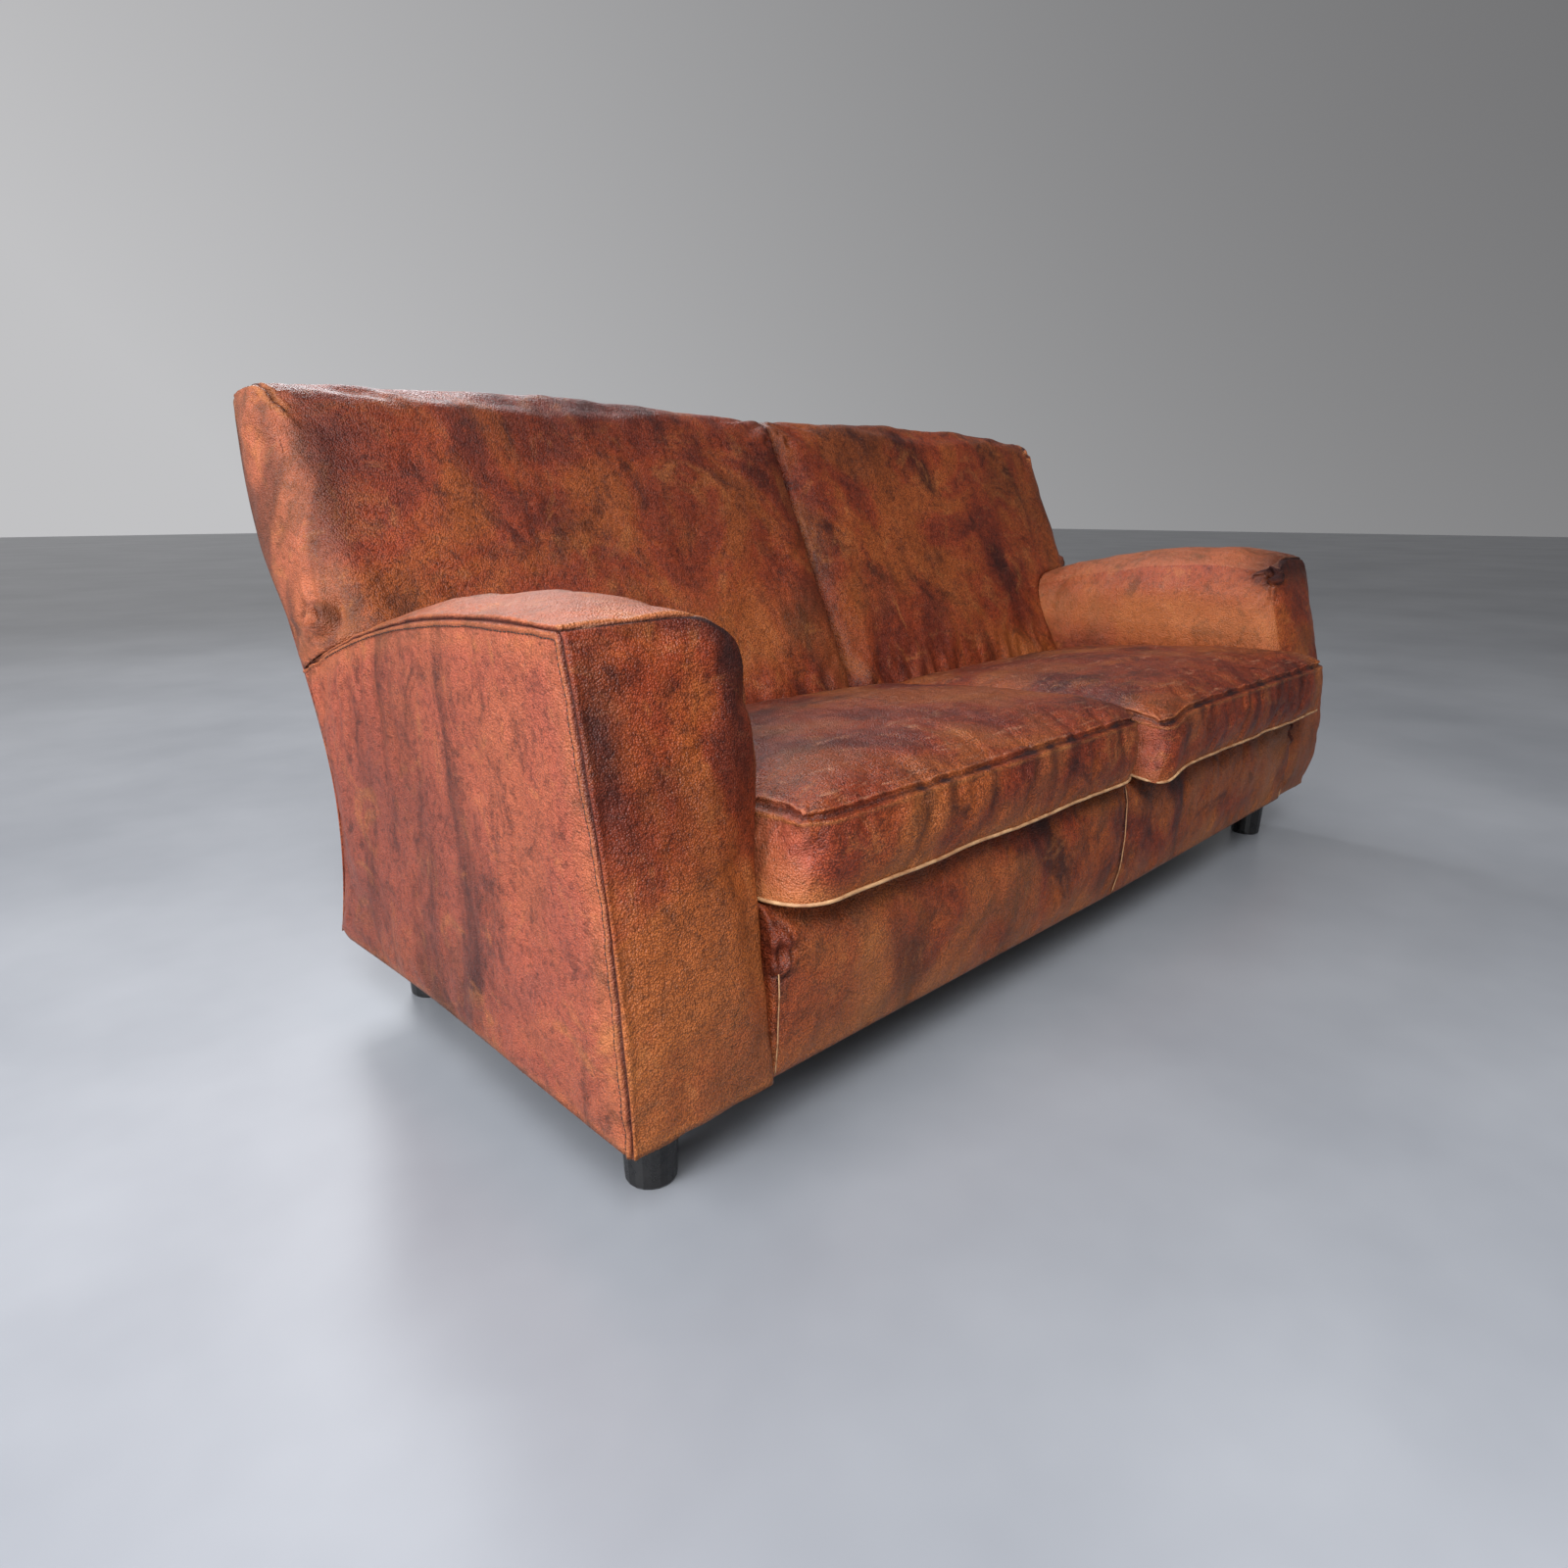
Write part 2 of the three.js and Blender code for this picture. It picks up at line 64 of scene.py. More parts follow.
HALF_WIDTH = node_box("right_arm_cover")[1][0]
HEM_Z = node_box("right_arm_cover")[0][2]
ARM_CROWN = 14  # rise of the arm's top between its sides
ARM_TOP_ROUND = 72  # radius of the arm's inner top edge, behind its front
INNER_LOW, INNER_HIGH = 745, 706  # x of the arm's inner side, low and high

BACK_FOOT = node_box("right_back_cover")[0][2]
BACK_END = 917
BACK_TOP = 864
BACK_LEAN = 0.478

SEAT_FRONT = node_box("left_seat_cover")[0][1]
SEAT_HALF = -node_box("left_seat_cover")[0][0]
SEAT_SLIDE = SEAT_FRONT - node_box("right_seat_cover")[0][1]  # how far the right one has slid out
SEAT_BOTTOM = 317
SEAT_THICK = 104
SEAT_PITCH = 0.0535

APRON_HALF = node_box("apron_cover")[1][0]
PANEL_HALF = node_box("outside_back")[1][0]
PANEL_TOP = node_box("outside_back")[1][2]


# ---- Profiles ----


def lerp(a, b, t):
    return a + (b - a) * t


def smoothstep(x, low, high):
    """Rises smoothly from 0 at low to 1 at high."""
    t = np.clip((x - low) / (high - low), 0, 1)
    return t * t * (3 - 2 * t)


def bell(x, middle, width):
    """1 at the middle, and about a third a width away from it."""
    return np.exp(-(((x - middle) / width) ** 2))


def arch(t):
    """0 at both ends of the range 0 to 1, and 1 in its middle."""
    return np.maximum(np.sin(np.pi * np.clip(t, 0, 1)), 0)


def rear_y(z):
    """The rear face: hollow between the hem and the arms' height, and leaning back above."""
    hollow = 285 + 44 * (np.maximum(305 - z, 0) / 193) ** 2
    return hollow + 163 * smoothstep(z, 305, 775)


def back_front_y(z):
    return 138 + BACK_LEAN * (z - 374)


def back_end_x(z):
    return BACK_END + 8 * smoothstep(z, 540, 660)


def arm_front_y(z):
    """The arm's front leans back more and more towards its top."""
    return -397 + 71 * np.clip((z - 119) / 488, 0, 1.1) ** 1.65


def arm_top_z(y):
    """The arm's top is level in front and sinks towards the rear."""
    return 608 - 90 * np.clip((y + 284) / 567, 0, 1.2) ** 2.3


def arm_outer_x(y):
    return HALF_WIDTH - 14 * smoothstep(y, -400, 100)


def arm_inner_x(z):
    """The arm's inner side steps in towards the seat above the cushion."""
    return lerp(INNER_LOW, INNER_HIGH, smoothstep(z, 300, 465))


def seat_bottom_z(y):
    return SEAT_BOTTOM - SEAT_PITCH * (y - SEAT_FRONT)


# ---- Closed grids ----


def stations(length, step, seams=()):
    """Distances from 0 to length, about a step apart, and closer across each seam."""
    close = np.array([-12, -9, -7, -5, -3.5, -2, -1, 0, 1, 2, 3.5, 5, 7, 9, 12])
    even = np.linspace(0, length, int(round(length / step)) + 1)
    for seam in seams:
        even = even[np.abs(even - seam) > 13]
    even = np.concatenate([even] + [seam + close for seam in seams])
    even = np.sort(even[(even > 0.6) & (even < length - 0.6)])
    even = even[np.concatenate([[True], np.diff(even) > 0.6])]
    return np.concatenate([[0], even, [length]])


class Lattice:
    """The points of a closed grid over a box, each as its distances from the low corner."""

    def __init__(self, xs, ys, zs):
        self.axes = [np.asarray(axis, float) for axis in (xs, ys, zs)]
        self.shape = tuple(len(axis) for axis in self.axes)
        self.shell = np.zeros(self.shape, bool)
        for axis in range(3):
            np.moveaxis(self.shell, axis, 0)[[0, -1]] = True
        self.index = np.full(self.shape, -1)
        self.index[self.shell] = np.arange(self.shell.sum())
        where = np.nonzero(self.shell)
        self.points = np.stack([axis[i] for axis, i in zip(self.axes, where)], 1)
        self.quads = self._quads()

    def _quads(self):
        found = []
        for axis in range(3):
            for end in (0, -1):
                side = np.moveaxis(self.index, axis, 0)[end]
                corners = [side[:-1, :-1], side[1:, :-1], side[1:, 1:], side[:-1, 1:]]
                quads = np.stack(corners, -1).reshape(-1, 4)
                faces_in = (end == 0) != (axis == 1)
                found.append(quads[:, ::-1] if faces_in else quads)
        return np.concatenate(found)

    def carried_from(self, coarse, values):
        """Values at a coarser lattice's points, carried smoothly to this one's."""
        source = np.zeros((*coarse.shape, values.shape[1]))
        source[coarse.shell] = values
        result = np.zeros((*self.shape, values.shape[1]))
        weights = [smooth_weights(a, b) for a, b in zip(coarse.axes, self.axes)]
        for axis in range(3):
            u, v = (weights[other] for other in range(3) if other != axis)
            given, wanted = np.moveaxis(source, axis, 0), np.moveaxis(result, axis, 0)
            for end in (0, -1):
                wanted[end] = np.einsum("ai,bj,ijk->abk", u, v, given[end])
        return result[self.shell]


def smooth_weights(coarse, fine):
    """The matrix that carries values along a smooth curve through the coarse stations."""
    count = len(coarse)
    place = np.interp(fine, coarse, np.arange(count))
    start = np.clip(np.floor(place).astype(int), 0, count - 2)
    t = place - start
    parts = [
        -0.5 * t**3 + t**2 - 0.5 * t,
        1.5 * t**3 - 2.5 * t**2 + 1,
        -1.5 * t**3 + 2 * t**2 + 0.5 * t,
        0.5 * t**3 - 0.5 * t**2,
    ]
    matrix = np.zeros((len(fine), count))
    rows = np.arange(len(fine))
    for shift, part in enumerate(parts):
        np.add.at(matrix, (rows, np.clip(start + shift - 1, 0, count - 1)), part)
    return matrix


def round_corner(a, b, radius):
    """Rounds the corner between two faces, given the distances from each. The functions that place
    points round the corners of a box with it, and call each such distance by its face's name."""
    u, v = radius - a, radius - b
    inside = (u > 0) & (v > 0)
    scale = np.maximum(u, v) / np.maximum(np.hypot(u, v), 1e-9)
    return np.where(inside, radius - u * scale, a), np.where(inside, radius - v * scale, b)


def normals_of(points, quads):
    """The outward unit normal at each point of a closed grid."""
    a, b, c, d = (points[quads[:, i]] for i in range(4))
    face = np.cross(c - a, d - b)
    total = np.zeros_like(points)
    for i in range(4):
        np.add.at(total, quads[:, i], face)
    return total / np.maximum(np.linalg.norm(total, axis=1), 1e-12)[:, None]


def relaxed(values, quads, rounds):
    """Values averaged with their neighbours' over the grid, a number of times."""
    ends = np.concatenate([quads[:, [i, (i + 1) % 4]] for i in range(4)])
    ends = np.concatenate([ends, ends[:, ::-1]])
    count = np.bincount(ends[:, 0], minlength=len(values))[:, None]
    for _ in range(rounds):
        sums = [np.bincount(ends[:, 0], axis[ends[:, 1]], len(values)) for axis in values.T]
        total = np.stack(sums, 1)
        values = (values + total / count) / 2
    return values


def field(points, wavelength, seed, stretch=(1, 1, 1)):
    """A smooth random field of about unit height over the points."""
    rng = np.random.default_rng(seed)
    count = 28
    heading = rng.normal(size=(count, 3))
    heading /= np.linalg.norm(heading, axis=1)[:, None]
    rate = 2 * np.pi / (wavelength * rng.uniform(0.6, 1.7, count))
    phase = rng.uniform(0, 2 * np.pi, count)
    waves = np.sin((points / np.array(stretch)) @ (heading * rate[:, None]).T + phase)
    return waves.sum(1) * math.sqrt(2 / count)


def from_line(points, line):
    """The distance of each point from a polyline, and how far along it the nearest place is."""
    line = np.asarray(line, float)
    lengths = np.linalg.norm(np.diff(line, axis=0), axis=1)
    starts = np.concatenate([[0], np.cumsum(lengths)])
    best = np.full(len(points), 1e9)
    along = np.zeros(len(points))
    for i, (a, b) in enumerate(zip(line[:-1], line[1:])):
        t = np.clip((points - a) @ (b - a) / lengths[i] ** 2, 0, 1)
        distance = np.linalg.norm(points - a - t[:, None] * (b - a), axis=1)
        nearer = distance < best
        best[nearer] = distance[nearer]
        along[nearer] = (starts[i] + t * lengths[i])[nearer] / starts[-1]
    return best, along


def crease(points, line, depth, width):
    """A furrow along a polyline, with a low fold on each side, fading out at its ends."""
    distance, along = from_line(points, line)
    fade = np.sqrt(np.clip(4 * along * (1 - along), 0, 1))
    profile = 0.45 * bell(distance, 2.1 * width, width) - bell(distance, 0, width)
    return depth * fade * profile


def fan(points, origin, spread, count, length, depth, width, seed):
    """Furrows that run out from one point, between the two directions of spread."""
    rng = np.random.default_rng(seed)
    total = np.zeros(len(points))
    first, last = (np.array(direction, float) for direction in spread)
    for i in range(count):
        share = (i + rng.uniform(0.2, 0.8)) / count
        heading = lerp(first, last, share)
        heading /= np.linalg.norm(heading)
        reach = length * rng.uniform(0.5, 1.1)
        bend = rng.normal(size=3) * reach * 0.06
        line = [origin, origin + heading * reach * 0.5 + bend, origin + heading * reach]
        distance, along = from_line(points, line)
        fade = (1 - along) ** 0.8
        profile = 0.5 * bell(distance, 2.0 * width, width)
        profile = profile - bell(distance, 0, width * (0.6 + 0.6 * along))
        total += depth * rng.uniform(0.6, 1.2) * fade * profile
    return total


def nearest(points, place):
    """The one of the points that is nearest to a place."""
    return points[np.argmin(np.linalg.norm(points - place, axis=1))]


def eye(points, centre, scale, depth, height):
    """A puckered hole with a raised lip. Scale gives its half size in each direction."""
    away = np.linalg.norm((points - centre) / scale, axis=1)
    lip = height * bell(away, 1.25, 0.38)
    return lip - depth * bell(away, 0, 0.8) - 0.4 * depth * bell(away, 2.0, 0.3)


# ---- Simulation ----

PADDING_PRESSURE = 4
LAST_FRAME = 20


def new_mesh(name, points, quads):
    mesh = bpy.data.meshes.new(name)
    mesh.vertices.add(len(points))
    mesh.vertices.foreach_set("co", (points * MM).astype(np.float32).ravel())
    mesh.loops.add(quads.size)
    mesh.loops.foreach_set("vertex_index", quads.astype(np.int32).ravel())
    mesh.polygons.add(len(quads))
    mesh.polygons.foreach_set("loop_start", np.arange(0, quads.size, 4, dtype=np.int32))
    mesh.update(calc_edges=True)
    mesh.validate()
    return mesh


def blown_up(points, quads, sewn, spare):
    """How far each point of a leather skin moves when its padding presses it out between the sewn
    points. Spare is the share by which the leather is larger than the form below it."""
    obj = bpy.data.objects.new("skin", new_mesh("skin", points, quads))
    scene.collection.objects.link(obj)
    group = obj.vertex_groups.new(name="sewn")
    group.add([int(i) for i in np.nonzero(sewn)[0]], 1.0, "REPLACE")
    cloth = obj.modifiers.new("Cloth", "CLOTH")
    settings = cloth.settings
    settings.quality = 5
    settings.mass = 0.4
    settings.tension_stiffness = 20
    settings.compression_stiffness = 20
    settings.shear_stiffness = 8
    settings.bending_stiffness = 1.2
    settings.use_pressure = True
    settings.uniform_pressure_force = PADDING_PRESSURE
    settings.effector_weights.gravity = 0
    settings.shrink_min = -spare
    settings.vertex_group_mass = "sewn"
    cloth.collision_settings.use_collision = False
    cloth.point_cache.frame_start = 1
    cloth.point_cache.frame_end = LAST_FRAME
    for number in range(1, LAST_FRAME + 1):
        scene.frame_set(number)
    result = obj.evaluated_get(bpy.context.evaluated_depsgraph_get())
    moved = np.zeros(len(points) * 3, np.float32)
    result.data.vertices.foreach_get("co", moved)
    bpy.data.objects.remove(obj)
    scene.frame_set(1)
    return moved.reshape(-1, 3).astype(float) / MM - points


def skin(size, grid, place, sewn, cap, keep_swell, spare, cell=13):
    """A lattice, and its points put in place and then moved as a simulated leather skin moves.

    The grid is each axis's step and seams. No point moves further than the cap, and only a share of
    the general swelling is kept, so that mostly the local slackness of the leather is left."""
    lattice = Lattice(*[stations(length, *axis) for length, axis in zip(size, grid)])
    points = place(lattice.points)
    coarse = Lattice(*[stations(length, cell) for length in size])
    base = place(coarse.points)
    move = blown_up(base, coarse.quads, sewn(coarse.points), spare)
    reach = np.linalg.norm(move, axis=1)[:, None]
    move *= cap * np.tanh(reach / cap) / np.maximum(reach, 1e-9)
    swell = relaxed(move, coarse.quads, 60)
    move = move - swell * (1 - keep_swell)
    return lattice, points + lattice.carried_from(coarse, move)


def raised(points, quads, relief):
    """Points moved out along their normals."""
    return points + normals_of(points, quads) * relief[:, None]


# ---- Arms ----

ARM_SIZE = (190, 690, 490)
ARM_TOP = 600
FELL = 3  # groove of the side panel's seam, in from the edge
STITCH_LINE = 13
PINCH = np.array([INNER_HIGH + 10, -322.0, 578])
PINCH_SIZE = (15, 22, 8)


def arm_place(distances, right):
    edge = 32 if right else 6
    inner, front, bottom = distances.T
    top = ARM_SIZE[2] - bottom
    top_round = lerp(96, ARM_TOP_ROUND, smoothstep(front, 20, 160))
    inner, top = round_corner(inner, top, top_round)
    square_low = lerp(0.2, 1, smoothstep(bottom, 170, 330))
    inner, front = round_corner(inner, front, 42 * square_low)
    top, front = round_corner(top, front, 10 + edge / 2)
    outer, front = round_corner(ARM_SIZE[0] - inner, front, edge)
    outer, top = round_corner(outer, top, edge)
    outer, rear = round_corner(outer, ARM_SIZE[1] - front, 12)
    across = 1 - outer / ARM_SIZE[0]
    along = 1 - rear / ARM_SIZE[1]
    up = 1 - top / ARM_SIZE[2]
    crown = ARM_CROWN * arch(across) * lerp(0.15, 1, smoothstep(along, 0.0, 0.16))
    z = lerp(HEM_Z, ARM_TOP, up)
    for _ in range(4):
        y = lerp(arm_front_y(z), rear_y(z) - 3.5, along)
        z = lerp(HEM_Z, arm_top_z(y) + crown, up)
    in_front = 1 - smoothstep(along, 0, 0.16)
    puff = bell(z, 330, 130) * in_front
    if right:
        y -= 14 * puff
        y += 16 * in_front * (1 - smoothstep(z, HEM_Z, 190))
    else:
        y -= 3 * puff * arch(across)
    x = lerp(arm_inner_x(z), arm_outer_x(y), across)
    z += 12 * (1 - smoothstep(rear, 0, 34)) * (1 - smoothstep(up, 0, 0.05))
    rim = np.minimum.reduce([outer, inner, front, rear])
    under = (bottom <= 0) & (rim > 7)
    z = np.where(under, HEM_Z + 8 * smoothstep(rim, 7, 12), z)
    return np.stack([x, y, z], 1)


def arm_sewn(distances):
    """Which points are held: the bottom, the rear and the seams round the side panel and top."""
    dx, dy, dz = distances.T
    outer = dx >= ARM_SIZE[0]
    return (
        (dz <= 0)
        | (dy >= ARM_SIZE[1])
        | (outer & ((dy <= 0) | (dz >= ARM_SIZE[2])))
        | ((dy <= 0) & (dz >= ARM_SIZE[2]))
    )


def arm_seams(distances):
    """Relief of the seams: felled on the side panel, and a rolled edge in front and on top."""
    dx, dy, dz = distances.T
    from_top = ARM_SIZE[2] - dz
    from_outer = ARM_SIZE[0] - dx
    side = from_outer <= 0
    edge = np.minimum(dy, from_top)
    relief = np.where(side, -3.2 * bell(edge, FELL, 2.0) + 1.6 * bell(edge, 8, 3), 0)
    relief -= side * 0.7 * bell(edge, STITCH_LINE, 1.6)
    rolled = (dy <= 0) | (from_top <= 0)
    relief += rolled * 1.4 * bell(from_outer, 3, 3)
    top_edge = np.where(dy <= 0, from_top, np.where(from_top <= 0, dy, 99))
    short = smoothstep(dx, 20, 50)
    relief -= short * 1.6 * bell(top_edge, 0, 2.2)
    relief += short * np.where(from_top <= 0, 1.8 * bell(dy, 7, 3.5), 0.8 * bell(top_edge, 6, 3.5))
    return relief


def build_arm(right):
    wide, deep, high = ARM_SIZE
    seams = [high - STITCH_LINE, high - FELL]
    grid = [(6, [wide - FELL]), (6.5, [FELL, STITCH_LINE]), (6.5, seams)]
    slack = {"cap": 8, "keep_swell": 0.2, "spare": 0.006}
    lattice, points = skin(ARM_SIZE, grid, partial(arm_place, right=right), arm_sewn, **slack)
    _, y, z = points.T
    dx, dy, dz = lattice.points.T
    seed = 11 if right else 5
    relief = arm_seams(lattice.points)
    side = dx >= wide
    uneven = 1.1 * field(points, 130, seed) + 0.5 * field(points, 45, seed + 1)
    relief += np.where(dz > 0, uneven, 0)
    # Upright ripples at the upper rear of the side panel.
    zone = smoothstep(y, -60, 140) * smoothstep(z, 330, 470) * (1 - smoothstep(z, 500, 590))
    relief += side * 1.6 * zone * field(points, 34, seed + 2, (1, 1, 7))
    # Weaker ones low on the front.
    low_front = 1 - smoothstep(z, 150, 260)
    relief += np.where(dy <= 0, 0.8 * low_front * field(points, 40, seed + 3, (1, 1, 3)), 0)
    if right:
        # The pinch where the front-top seam turns down the inner side.
        pinch = nearest(points, PINCH)
        relief += eye(points, pinch, PINCH_SIZE, 9, 6)
        relief += fan(points, pinch, [(-0.1, 1, 0.1), (-0.3, 0.5, -1)], 6, 90, 5.0, 5, seed + 4)
        spread = [(0.9, -0.1, 0.25), (0.5, -0.2, -1)]
        relief += fan(points, pinch, spread, 4, 60, 3.2, 4.5, seed + 5)
    return lattice, raised(points, lattice.quads, np.where(dy >= deep, 0, relief))


# ---- Back units ----

BACK_SIZE = (BACK_END - 2, 120, 560)
GATHER = np.array([BACK_END, 270.0, 566])
GATHER_SIZE = (14, 16, 13)
END_SEAM = np.array([(886, 351, 830), (900, 376, 850), (912, 410, 862), (916, 446, 858)], float)
SUNK_IN_ARM = 4


def inside_arm(points):
    """How far each point is outside the arm's top and inner faces, less than 0 inside them."""
    x, y, z = points.T
    crown = ARM_CROWN * np.sin(np.pi * np.clip((x - INNER_HIGH) / 220, 0, 1))
    a = x - arm_inner_x(z)
    b = arm_top_z(y) + crown - z
    u, v = ARM_TOP_ROUND - a, ARM_TOP_ROUND - b
    rounded = np.hypot(np.maximum(u, 0), np.maximum(v, 0)) - ARM_TOP_ROUND
    return np.where((u > 0) & (v > 0), rounded, -np.minimum(a, b))


def clear_of_arm(points):
    """Points inside the arm are pushed up and inwards, away from a pole that runs front to rear low
    in the arm, to just below its surface."""
    pole = np.array([955, 0, 285.0])
    within = inside_arm(points) < -SUNK_IN_ARM
    start = points[within]
    heading = start - pole
    heading[:, 1] = 0
    heading /= np.maximum(np.linalg.norm(heading, axis=1), 1e-9)[:, None]
    low = np.zeros(len(start))
    high = np.full(len(start), 700.0)
    for _ in range(24):
        middle = (low + high) / 2
        outside = inside_arm(start + heading * middle[:, None]) >= -SUNK_IN_ARM
        high = np.where(outside, middle, high)
        low = np.where(outside, low, middle)
    moved = points.copy()
    end = start + heading * high[:, None]
    front = back_front_y(start[:, 2])
    share = np.clip((start[:, 1] - front) / (rear_y(start[:, 2]) - front), 0, 1)
    end[:, 1] = lerp(back_front_y(end[:, 2]) + 5, rear_y(end[:, 2]) - 5, share)
    moved[within] = end
    return moved


def back_place(distances):
    middle, front, bottom = distances.T
    top = BACK_SIZE[2] - bottom
    top_round = 46
    end_round = 42
    end_scale = 58 / end_round
    end = (BACK_SIZE[0] - middle) / end_scale
    top, front = round_corner(top, front, top_round)
    top, rear = round_corner(top, BACK_SIZE[1] - front, top_round)
    front = BACK_SIZE[1] - rear
    front, end = round_corner(front, end, end_round)
    corner_round = lerp(44, 26, np.clip(front / 90, 0, 1))
    top, end = round_corner(top, end, corner_round)
    middle = BACK_SIZE[0] - end * end_scale
    front, middle = round_corner(front, middle, 26)
    top, middle = round_corner(top, middle, 14)
    across = middle / BACK_SIZE[0]
    through = front / BACK_SIZE[1]
    up = 1 - top / BACK_SIZE[2]
    crown = 18 * arch(across) ** 0.7 - 3
    z = lerp(BACK_FOOT, BACK_TOP + crown, up)
    panel = 4.5 * (1 - smoothstep(z, 828, 842))
    y = lerp(back_front_y(z), rear_y(z) - panel, through)
    y -= 5 * arch(across) * bell(z, 520, 170) * (1 - through)
    x = lerp(2, back_end_x(z), across)
    return np.stack([x, y, z], 1)


def back_sewn(distances):
    """Which points are held: the foot, the rear and the seams of the end and of the middle."""
    dx, dy, dz = distances.T
    front, rear = dy <= 0, dy >= BACK_SIZE[1]
    end, middle, top = dx >= BACK_SIZE[0], dx <= 0, dz >= BACK_SIZE[2]
    return (dz <= 0) | rear | (end & top) | (middle & (front | top)) | (dz < 60)


def build_back(right):
    wide, deep, high = BACK_SIZE
    grid = [(6.5, [wide - 26, wide - 8]), (5,), (6.5, [high - 8])]
    slack = {"cap": 9, "keep_swell": 0.25, "spare": 0.006}
    lattice, points = skin(BACK_SIZE, grid, back_place, back_sewn, **slack)
    dy = lattice.points[:, 1]
    x, _, z = points.T
    seed = 23 if right else 31
    above_arm = inside_arm(points)
    relief = 1.3 * field(points, 170, seed) + 0.5 * field(points, 50, seed + 1)
    # The lower edge bulges where it lies on the arm.
    relief += 3 * bell(above_arm, 16, 14) * smoothstep(x, 680, 715)
    # Box pleats at the two top front corners.
    for corner_x, side in ((BACK_END - 31, 1), (26, -1)):
        corner = np.array([corner_x, 351, 828.0])
        spread = [(-side, -0.2, -0.2), (-0.2 * side, -0.4, -1)]
        relief -= 6 * bell(np.linalg.norm(points - corner, axis=1), 0, 13)
        relief += fan(points, corner, spread, 5, 75, 2.6, 5.5, seed + 2)
    distance, _ = from_line(points, laid_on(points, lattice.quads, evenly(END_SEAM, 5), 0))
    relief += 2.2 * bell(distance, 7, 3.5) - 5.0 * bell(distance, 0, 3.0)
    # The gather at the foot of the end face, over the arm.
    gather = nearest(points, GATHER)
    relief += eye(points, gather, GATHER_SIZE, 11, 5)
    relief += fan(points, gather, [(-0.2, 0.2, 1), (0.1, 1, 0.3)], 6, 95, 5.0, 6, seed + 3)
    relief += fan(points, gather, [(-1, 0, 0.1), (-0.5, 0, 1)], 5, 85, 4.2, 6, seed + 4)
    # Upright pulls along the lower edge, above the seat.
    low = bell(z, 385, 60) * np.where(dy <= 0, 1, 0)
    relief += low * (3.0 if right else 1.8) * field(points, 42, seed + 5, (1, 1, 5))
    relief = np.where((dy >= deep) & (z < 845), 0, relief)
    return lattice, clear_of_arm(raised(points, lattice.quads, relief))


# ---- Seat cushions ----

SEAT_SIZE = (SEAT_HALF - 2, 540, SEAT_THICK)
LIPS = (3, 17)  # raised edges of the sunk band below the top edge
BESIDE_ARM_Y = -372  # the cushions lie between the arms behind this


def seat_place(distances, right):
    middle, front, bottom = distances.T
    top = SEAT_SIZE[2] - bottom
    front, top = round_corner(front, top, 24)
    middle, top = round_corner(middle, top, 18)
    front, middle = round_corner(front, middle, 42 if right else 58)
    outer, top = round_corner(SEAT_SIZE[0] - middle, top, 18)
    front, outer = round_corner(front, outer, 42)
    across = 1 - outer / SEAT_SIZE[0]
    along = front / SEAT_SIZE[1]
    up = 1 - top / SEAT_SIZE[2]
    y = lerp(SEAT_FRONT, 99 + 14 * up, along)
    y -= 12 * arch(up) * (1 - smoothstep(along, 0, 0.2)) * arch(across) ** 0.4
    crown = 32 * arch(across) ** 0.35 * arch(along) ** 0.5
    thick = lerp(SEAT_THICK, SEAT_THICK - 12, along) + crown * up
    z = seat_bottom_z(y) + thick * up
    beside = arm_inner_x(z) - 4
    ahead = lerp(beside, 735, 1 - smoothstep(y, -420, -370))
    x = lerp(2, ahead, across)
    if right:
        near = bell(x, 2, 60) * bell(y, SEAT_FRONT - 20, 50)
        z -= near * (21 + 2 * up)
        y -= SEAT_SLIDE + 8 * near
        z += SEAT_SLIDE * SEAT_PITCH
    else:
        z -= 6 * bell(x, 2, 60) * bell(y, SEAT_FRONT, 80) * up
    return np.stack([x, y, z], 1)


def seat_rim(distances):
    dx, dy, _ = distances.T
    return (dy <= 0) | (dx <= 0) | (dx >= SEAT_SIZE[0]) | (dy >= SEAT_SIZE[1])


def seat_sewn(distances):
    """Which points are held: the underside and the sunk band."""
    dz = distances[:, 2]
    return (dz <= 0) | (seat_rim(distances) & (np.abs(dz - (SEAT_THICK - 16)) <= 7))


